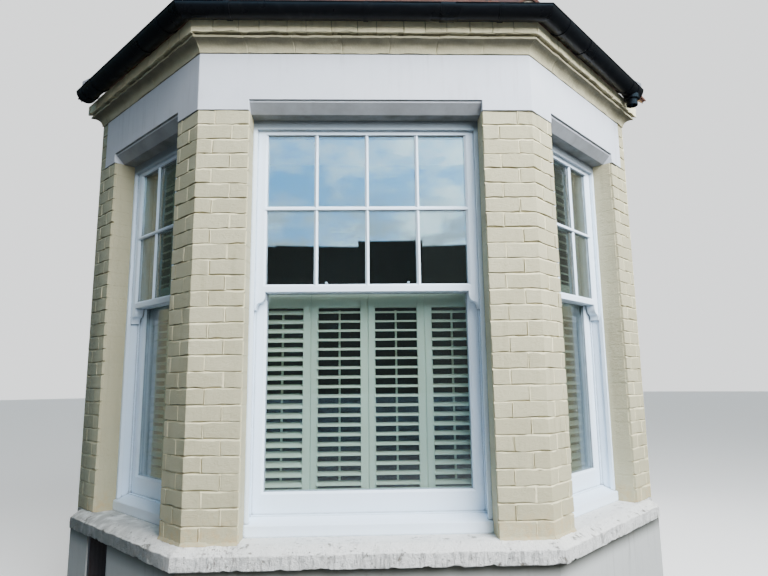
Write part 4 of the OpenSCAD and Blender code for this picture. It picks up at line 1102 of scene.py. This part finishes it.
def sill(side):
    """Weathered stone sill with a worn nose."""
    plan, pile = Plan(side or 1), Pile("worn_sill_" + face_name(side))
    sizes, low, high, short = plan.sizes, SILL_FOOT, SILL_TOP, 0.065
    out, fall, radius, groove, groove_in = 0.062, 0.028, 0.010, 0.009, 0.030
    place = face_place(plan, side, short)
    profile = [
        (-sizes.wall, low), (-0.1, low), (0.0, low), (out - groove_in, low), (out - groove_in, low + groove),
        (out - groove_in + groove, low + groove), (out - groove_in + groove, low), (out - 0.004, low),
        (out, low + 0.004), (out, low + 0.022), (out, low + 0.04),
    ]
    for k in range(5):
        turn = math.radians(22.5 * k)
        profile.append((out - radius * (1 - math.cos(turn)), high - fall - radius * (1 - math.sin(turn))))
    profile += [(out * share, high - fall * share) for share in (0.75, 0.5, 0.25)]
    profile += [(0.0, high), (-0.06, high), (-sizes.reveal, high), (-sizes.wall, high)]
    steps = round((plan.side_width if side else sizes.front_width) / 0.014)
    shares = [k / steps for k in range(steps + 1)]
    body = sweep(lambda share: [lifted(place(share, reach), z) for reach, z in profile], shares)
    for vert in body.verts:
        stands_out = -plan.behind_flank(vert.co) if side else FRONT_Y - vert.co.y
        inside = stands_out < -0.001 and vert.co.z < high - 1e-4
        if inside or stands_out < -sizes.reveal + 0.02:
            continue
        push = noise.noise_vector(vert.co / 0.07) * 0.0034 + noise.noise_vector(vert.co / 0.024) * 0.0022
        if vert.co.z < low + 0.01 and stands_out > 0.05:
            push.z = max(noise.noise(vert.co / 0.06) + 0.6 * noise.noise(vert.co / 0.021), 0.0) * 0.012
        elif vert.co.z < low + 0.001:
            push.z = abs(push.z)
        vert.co += push * min(max(stands_out / 0.02, 0.15), 1.0)
    trim(body, Vector((0, BACK_Y, 0)), TOWARDS_HOUSE)
    pile.add(body, 0.5, 0)
    if side:
        corners = [
            plan.canted(short - plan.side_width / 2 + 0.002, -0.0005), plan.at_wall(-0.0005),
            Vector((plan.at_wall(0).x, WALL_Y + 0.0005)), *plan.bonded(),
        ]
        pile.add(prism(corners, low, high), 0.5, 0)
    pile.finish(["sill_stone"], "sill_stone", "stone_sill_" + face_name(side))


def lintel(side):
    """Lintel band with eased arrises."""
    name = "lintel_" + face_name(side)
    bm, pile = copy_of(name), Pile("eased_" + name)
    soften(bm, 0.0022)
    pile.add(bm, 0.5, 0)
    pile.finish(["lintel_paint"], "lintel_paint", name)


# ---- Floor and roof


def laid_boards():
    """Floor boards with eased edges and open joints, cut to the plan of the bay"""
    joinery, rng, pile = bpy.context.scene.bay_joinery, random.Random(101), Pile("laid_floor_boards")
    low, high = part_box("floor_boards")
    wide = high.x
    shut = wide - (high.y - low.y) / math.tan(bpy.context.scene.bay_plan.cant)
    corners = [Vector((-shut, low.y)), Vector((shut, low.y)), Vector((wide, high.y)), Vector((-wide, high.y))]
    count = math.ceil(wide / joinery.board_width)
    for k in range(-count, count):
        start = k * joinery.board_width + joinery.board_gap / 2
        bm = prism(corners, low.z, high.z - rng.uniform(0, 0.0008))
        trim(bm, Vector((start, 0, 0)), Vector((-1, 0, 0)))
        if trim(bm, Vector((start + joinery.board_width - joinery.board_gap, 0, 0)), Vector((1, 0, 0))):
            soften(bm, 0.0015)
            pile.add(bm, rng.random(), 0)
        else:
            bm.free()
    pile.finish(["floorboards"], "floorboards", "floor_boards")


# Plane that ends the tiles, just before the house wall's
AT_HOUSE = Vector((0, WALL_Y - 0.005, 0)), TOWARDS_HOUSE


class Slope:
    """One roof slope: a frame along the eave, up the slope and out of it, and the planes that bound it."""

    half_width = 1.0

    def __init__(self, side):
        roof, plan = bpy.context.scene.bay_roof, Plan(side or 1)
        cos, sin = math.cos(roof.pitch), math.sin(roof.pitch)
        if side == 0:
            along, inward, foot = Vector((1, 0, 0)), TOWARDS_HOUSE, Vector((0, FRONT_Y - roof.reach, EAVE))
        else:
            along = Vector((plan.cos, side * plan.sin, 0))
            inward = Vector((-side * plan.sin, plan.cos, 0))
            foot = lifted(plan.canted(0, roof.reach), EAVE)
        over = Vector((0, 0, cos)) - inward * sin
        self.matrix = Matrix((along, inward * cos + Vector((0, 0, sin)), over)).transposed().to_4x4()
        self.matrix.translation = foot
        self.planes = [AT_HOUSE]
        for hip_side in (-1, 1) if side == 0 else (side,):
            line = Vector((-hip_side * math.sin(plan.half), math.cos(plan.half), 0))
            across = Vector((hip_side * line.y, -hip_side * line.x, 0))
            outward = across if side == 0 else -across
            self.planes.append((lifted(Plan(hip_side).arris(0), 0) - outward * 0.003, outward))
        self.roof, self.length = roof, (WALL_Y - FRONT_Y + roof.reach) / cos

    def lay(self, pile, bm, matrix, tint, kind):
        """Moves a mesh to its place and adds what the planes leave of it."""
        bmesh.ops.transform(bm, matrix=matrix, verts=bm.verts)
        if all(trim(bm, *plane) for plane in self.planes):
            pile.add(bm, tint, kind)
        else:
            bm.free()

    def tile(self, pile, x, low, top, rng):
        """One plain tile with a slight camber, its tail at low and x its middle."""
        roof, tint, gap, camber, tail_edge = self.roof, rng.random(), 0.003, 0.0022, 0.0016
        length = roof.gauge * 1.45
        bm = block((roof.tile_width - gap, length, roof.tile_thickness), (0, length / 2, -roof.tile_thickness / 2))
        across = [e for e in bm.edges if abs(e.verts[0].co.x - e.verts[1].co.x) > 0.01]
        bmesh.ops.subdivide_edges(bm, edges=across, cuts=3, use_grid_fill=True)
        tail = [e for e in bm.edges if all(v.co.y < 1e-6 for v in e.verts) and e.calc_face_angle(0) > 1]
        bevel(bm, tail, tail_edge, 1)
        for vert in bm.verts:
            vert.co.z -= camber * (2 * vert.co.x / roof.tile_width) ** 2
        roughen(bm, 0.0008, size=0.03, seed=rng.uniform(0, SEEDS))
        tilt = Matrix.Rotation(-math.atan2(roof.step, roof.gauge), 4, "X")
        twist = Matrix.Rotation(rng.uniform(-0.008, 0.008), 4, "Z")
        place = Matrix.Translation((x, low + rng.uniform(-0.002, 0.002), top - rng.uniform(0, 0.0015)))
        self.lay(pile, bm, self.matrix @ place @ twist @ tilt, tint, 0)


def tiled_slope(side):
    """Plain tiles in broken bond on boarding, with an extra course under the eave."""
    slope, rng, pile = Slope(side), random.Random(71 + side), Pile("plain_tiles_" + face_name(side))
    roof, low, high = slope.roof, 0.004, slope.length + 0.1
    deck_top = roof.bed - roof.step - roof.tile_thickness - 0.001
    deck = block((2 * slope.half_width, high - low, deck_top), (0, (low + high) / 2, deck_top / 2))
    slope.lay(pile, deck, slope.matrix, 0.5, 1)
    across = math.ceil(slope.half_width / roof.tile_width)
    rows = [(0.003, roof.bed - roof.tile_thickness - 0.0005, 1)]
    rows += [(k * roof.gauge, roof.bed, k % 2) for k in range(math.ceil(slope.length / roof.gauge))]
    for tail, top, shift in rows:
        for k in range(-across, across + 1):
            slope.tile(pile, (k + shift / 2) * roof.tile_width, tail, top, rng)
    pile.finish(["clay_tile", "carpentry"], "clay_tile", "roof_slope_" + face_name(side), crease=30)


def hip(side):
    """Half round hip tiles, each lapping the one below, bedded in mortar."""
    plan, roof, rng = Plan(side), bpy.context.scene.bay_roof, random.Random(91 + side)
    pile = Pile("hip_tiles_and_bed_" + face_name(side))
    run = (WALL_Y - FRONT_Y + roof.reach) / math.cos(plan.half)
    rise = math.atan(math.tan(roof.pitch) * math.cos(plan.half))
    whole = run / math.cos(rise)
    count = int(whole / roof.hip_length)
    start = whole - count * roof.hip_length
    line = Vector((-side * math.sin(plan.half) * math.cos(rise), math.cos(plan.half) * math.cos(rise), math.sin(rise)))
    across = Vector((line.y, -line.x, 0)).normalized()
    over = across.cross(line)
    if over.z < 0:
        over = -over
    foot = lifted(plan.arris(roof.reach), EAVE + roof.bed - roof.step) - over * roof.hip_radius * 0.52
    rim, thick, spread, parts, step = 0.006, 0.012, math.radians(84), 10, 0.03

    def arc(radius):
        turns = [-spread + 2 * spread * i / parts for i in range(parts + 1)]
        return [across * math.sin(turn) * radius + over * math.cos(turn) * radius for turn in turns]

    def ring(s, outer, inner):
        return [foot + line * s + point for point in arc(outer) + arc(inner)[::-1]]

    radius, length = roof.hip_radius, roof.hip_length
    for k in range(count):
        s = start + k * length
        stations = [
            (s, radius + rim - 0.003), (s + 0.003, radius + rim), (s + 0.042, radius + rim),
            (s + 0.046, radius + 0.001),
            (s + length * 0.6, radius - 0.004), (s + length + 0.035, radius - thick + rim - 0.001),
        ]
        bm = sweep(lambda station: ring(*station, station[1] - thick), stations)
        roughen(bm, 0.001, size=0.05, seed=rng.uniform(0, SEEDS))
        trim(bm, *AT_HOUSE)
        pile.add(bm, rng.random(), 0)
    inside = radius - thick - 0.002
    places = [start + 0.008 + k * step for k in range(int((whole - start) / step))]
    bed = sweep(lambda s: ring(s, inside, 0.02), places)
    roughen(bed, 0.003, size=0.02, seed=7.0)
    trim(bed, *AT_HOUSE)
    pile.add(bed, 0.5, 1)
    pile.finish(["clay_tile", "hip_mortar"], "clay_tile", "hip_tiles_" + face_name(side), crease=30)


# ---- Stage


def camera_matrix(stage):
    cos, sin = math.cos, math.sin
    ahead = Vector((sin(stage.yaw) * cos(stage.pitch), cos(stage.yaw) * cos(stage.pitch), sin(stage.pitch)))
    right = Vector((cos(stage.yaw), -sin(stage.yaw), 0))
    up = right.cross(ahead)
    turned = right * cos(stage.roll) + up * sin(stage.roll)
    over = -right * sin(stage.roll) + up * cos(stage.roll)
    matrix = Matrix((turned, over, -ahead)).transposed().to_4x4()
    matrix.translation = stage.camera
    return matrix


def make_world(stage):
    """Pale to the camera, soft and even as light, and a sky over a dark street for what glass reflects."""
    world = bpy.data.worlds.new("studio")
    bpy.context.scene.world = world
    world.use_nodes = True
    g = Graph(world.node_tree)
    g.tree.nodes.clear()
    g.where = g.node("ShaderNodeTexCoord")["Generated"]
    ray, (east, north, rise) = g.node("ShaderNodeLightPath"), g.axes(g.where)

    def background(colour, strength):
        return g.node("ShaderNodeBackground", {"Color": colour, "Strength": strength})[0]

    def mirrored(*tone):
        return [value / stage.sky for value in tone]

    cells = g.node("ShaderNodeTexVoronoi", {"W": g.times(east, 9.0), "Scale": 1.0}, voronoi_dimensions="1D")["Color"]
    heights, kinds, _ = g.node("ShaderNodeSeparateColor", {0: cells})
    line = g.plus(g.times(heights, 0.022), math.sin(stage.roofline) - 0.011)
    clouded = g.span(g.clouds(8.0, 7.0, 0.62, stretch=(1.0, 1.0, 2.0)), 0.36, 0.66)
    side = g.span(east, -0.2, 0.2)
    blue = g.blend(side, (0.12, 0.42, 0.82), (0.24, 0.62, 1.05))
    white = g.blend(side, (0.50, 0.78, 0.95), (0.85, 1.25, 1.4))
    heavy = g.span(g.clouds(17.0, 6.0, 0.6, stretch=(1.0, 1.0, 2.5)), 0.38, 0.62, 0.25, 1.0)
    low_clouds = g.times(g.fade(rise, 0.23, 0.35), heavy)
    sky = g.blend(low_clouds, g.blend(clouded, blue, white), (0.30, 0.44, 0.53))
    houses = g.blend(g.span(kinds, 0.3, 0.7), mirrored(0.06, 0.08, 0.08), mirrored(0.13, 0.16, 0.16))
    street = g.blend(g.span(g.minus(rise, line), -0.002, 0.002), houses, sky)
    sides = g.blend(g.span(east, -0.4, 0.4), mirrored(0.10, 0.13, 0.11), mirrored(0.24, 0.26, 0.23))
    seen = g.blend(g.fade(north, -0.35, 0.05), sides, street)
    towards = g.vectors("DOT_PRODUCT", g.where, (0.72, -0.62, 0.3))["Value"]
    level = g.times(g.span(towards, -0.1, 1.0, 0.06, 1.35), stage.fill, g.span(rise, 0.0, 0.28, 4.0, 0.9))
    light, reflected = background((1.0, 0.975, 0.93, 1.0), level), background(seen, stage.sky)
    pale = background((0.97, 0.99, 1.0, 1.0), stage.backdrop)
    mixed = g.node("ShaderNodeMixShader", {0: ray["Is Glossy Ray"], 1: light, 2: reflected})[0]
    mixed = g.node("ShaderNodeMixShader", {0: ray["Is Camera Ray"], 1: mixed, 2: pale})[0]
    g.node("ShaderNodeOutputWorld", {"Surface": mixed})


def soft_box(name, place, target, size, power, tone=(1, 1, 1)):
    data = bpy.data.lights.new(name, "AREA")
    data.shape, data.size, data.size_y, data.energy, data.color = "RECTANGLE", size, size, power, tone
    lamp = put(name, data)
    lamp.location = place
    lamp.rotation_euler = (target - place).to_track_quat("-Z", "Y").to_euler()
    lamp.visible_glossy = lamp.visible_transmission = lamp.visible_camera = False


def room_shade():
    """A dark sheet across the back of the room: painted shade that stands for the unlit room, seen only from the
    street side.
    """
    m = Finish("room_shade", 1.0)
    m.set(Base_Color=m.blend(m.clouds(300.0), [0.004] * 3, [0.012] * 3))
    behind = m.node("ShaderNodeNewGeometry")["Backfacing"]
    lit_through = m.larger(behind, m.node("ShaderNodeLightPath")["Is Shadow Ray"])
    clear = m.node("ShaderNodeBsdfTransparent")[0]
    mixed = m.node("ShaderNodeMixShader", {0: lit_through, 1: m.shader.outputs[0], 2: clear})[0]
    m.feed(m.tree.nodes["Material Output"], {"Surface": mixed})
    bm = bmesh.new()
    bmesh.ops.create_grid(bm, x_segments=1, y_segments=1, size=0.5)
    bmesh.ops.scale(bm, vec=(2 * abs(Plan(1).bond_in().x) + 0.2, ROOM_TOP, 1), verts=bm.verts)
    bmesh.ops.rotate(bm, matrix=Matrix.Rotation(math.radians(90), 3, "X"), verts=bm.verts)
    bmesh.ops.translate(bm, vec=(0, BACK_Y + 0.004, ROOM_TOP / 2), verts=bm.verts)
    return put("room_shade", mesh_of("room_shade", bm, m.material))


def studio_floor(stage):
    """A wide pale floor, plain to the camera and softly lit to everything else"""
    m = Finish("studio_floor", 0.9, Emission_Strength=0.55)
    patches, seen = m.relief(2.0, 40.0)["Patches"], m.node("ShaderNodeLightPath")["Is Camera Ray"]
    pale = m.blend(patches, stage.floor, scaled(stage.floor, 0.97))
    m.set(Base_Color=m.blend(seen, [0.12] * 3, pale), Emission_Color=m.blend(seen, [0.0] * 3, pale))
    bm = bmesh.new()
    bmesh.ops.create_circle(bm, cap_ends=True, segments=64, radius=60.0)
    return put("studio_floor", mesh_of("studio_floor", bm, m.material))


# ---- Operators


class BayOperator(bpy.types.Operator):
    """Base of the building steps"""

    bl_options = {"REGISTER", "UNDO"}


class BAY_OT_finishes(BayOperator):
    """Makes the finishes and gives them to the solids that stay as they are"""

    bl_idname = "bay.finishes"
    bl_label = "Finishes"

    def execute(self, context):
        for make in EFFECTS:
            make()
        make_materials()
        for part in frame["record"]["subparts"]:
            for slot in frame["nodes"][part["node"]].material_slots:
                slot.material = material(part["material_slot"])
        for name in ("glass_left", "glass_right"):
            frame["nodes"][name].material_slots[0].material = material("shaded_side_glazing")
        return {"FINISHED"}


class BAY_OT_brick_piers(BayOperator):
    """Builds the four piers brick by brick"""

    bl_idname = "bay.brick_piers"
    bl_label = "Brick piers"

    def execute(self, context):
        for side in (-1, 1):
            corner_pier(side)
            wall_pier(side)
        return {"FINISHED"}


class BAY_OT_cornice(BayOperator):
    """Builds the moulded cornice of the three faces"""

    bl_idname = "bay.cornice"
    bl_label = "Cornice"

    def execute(self, context):
        for side in (-1, 0, 1):
            cornice(side)
        return {"FINISHED"}


class BAY_OT_sill_and_lintels(BayOperator):
    """Builds the worn stone sill and the lintel band"""

    bl_idname = "bay.sill_and_lintels"
    bl_label = "Sill and lintels"

    def execute(self, context):
        for side in (-1, 0, 1):
            sill(side)
            lintel(side)
        return {"FINISHED"}


class BAY_OT_floor(BayOperator):
    """Lays the floor boards"""

    bl_idname = "bay.floor"
    bl_label = "Floor boards"

    def execute(self, context):
        laid_boards()
        return {"FINISHED"}


class BAY_OT_roof(BayOperator):
    """Lays the tiles and the hips"""

    bl_idname = "bay.roof"
    bl_label = "Tiled roof"

    def execute(self, context):
        for side in (-1, 0, 1):
            tiled_slope(side)
        for side in (-1, 1):
            hip(side)
        return {"FINISHED"}


class BAY_OT_stage(BayOperator):
    """Sets the camera, the lights, the floor and the shade behind the room"""

    bl_idname = "bay.stage"
    bl_label = "Stage"

    def execute(self, context):
        stage = context.scene.bay_stage
        data = bpy.data.cameras.new("camera")
        data.sensor_width, data.lens = 36.0, stage.lens
        data.clip_start, data.clip_end = 0.05, 200.0
        camera = context.scene.camera = put("camera", data)
        camera.matrix_world = camera_matrix(stage)
        make_world(stage)
        middle = Vector((0, FRONT_Y, 1.8))
        turn, height = stage.key_turn, stage.key_height
        way = Vector((math.sin(turn) * math.cos(height), -math.cos(turn) * math.cos(height), math.sin(height)))
        soft_box("key", middle + way * stage.key_distance, middle, 5.0, stage.key, (0.96, 1.0, 1.06))
        back = Vector((0, BACK_Y, 1.7))
        soft_box("back light", back + Vector((0.6, 4.0, 0.0)), back, 2.5, stage.back)
        studio_floor(stage)
        room_shade()
        return {"FINISHED"}


class BAY_PT_sidebar(bpy.types.Panel):
    """Lists the sizes, the colours and the building steps"""

    bl_label = "Bay window"
    bl_idname = "BAY_PT_sidebar"
    bl_space_type = "VIEW_3D"
    bl_region_type = "UI"
    bl_category = "Bay"

    def draw(self, context):
        for step in STEPS:
            self.layout.operator(step.bl_idname)
        for name, group in GROUPS.items():
            box = self.layout.box()
            box.label(text=group.__doc__)
            for prop in group.__annotations__:
                box.prop(getattr(context.scene, name), prop)


STEPS = (
    BAY_OT_finishes, BAY_OT_brick_piers, BAY_OT_cornice, BAY_OT_sill_and_lintels, BAY_OT_floor, BAY_OT_roof,
    BAY_OT_stage,
)
CLASSES = (*GROUPS.values(), *STEPS, BAY_PT_sidebar)


def register():
    for cls in CLASSES:
        bpy.utils.register_class(cls)
    for name, group in GROUPS.items():
        setattr(bpy.types.Scene, name, PointerProperty(type=group))


def unregister():
    for name in GROUPS:
        delattr(bpy.types.Scene, name)
    for cls in reversed(CLASSES):
        bpy.utils.unregister_class(cls)


def main():
    register()
    for step in STEPS:
        area, action = step.bl_idname.split(".")
        getattr(getattr(bpy.ops, area), action)()


if __name__ == "__main__":
    main()
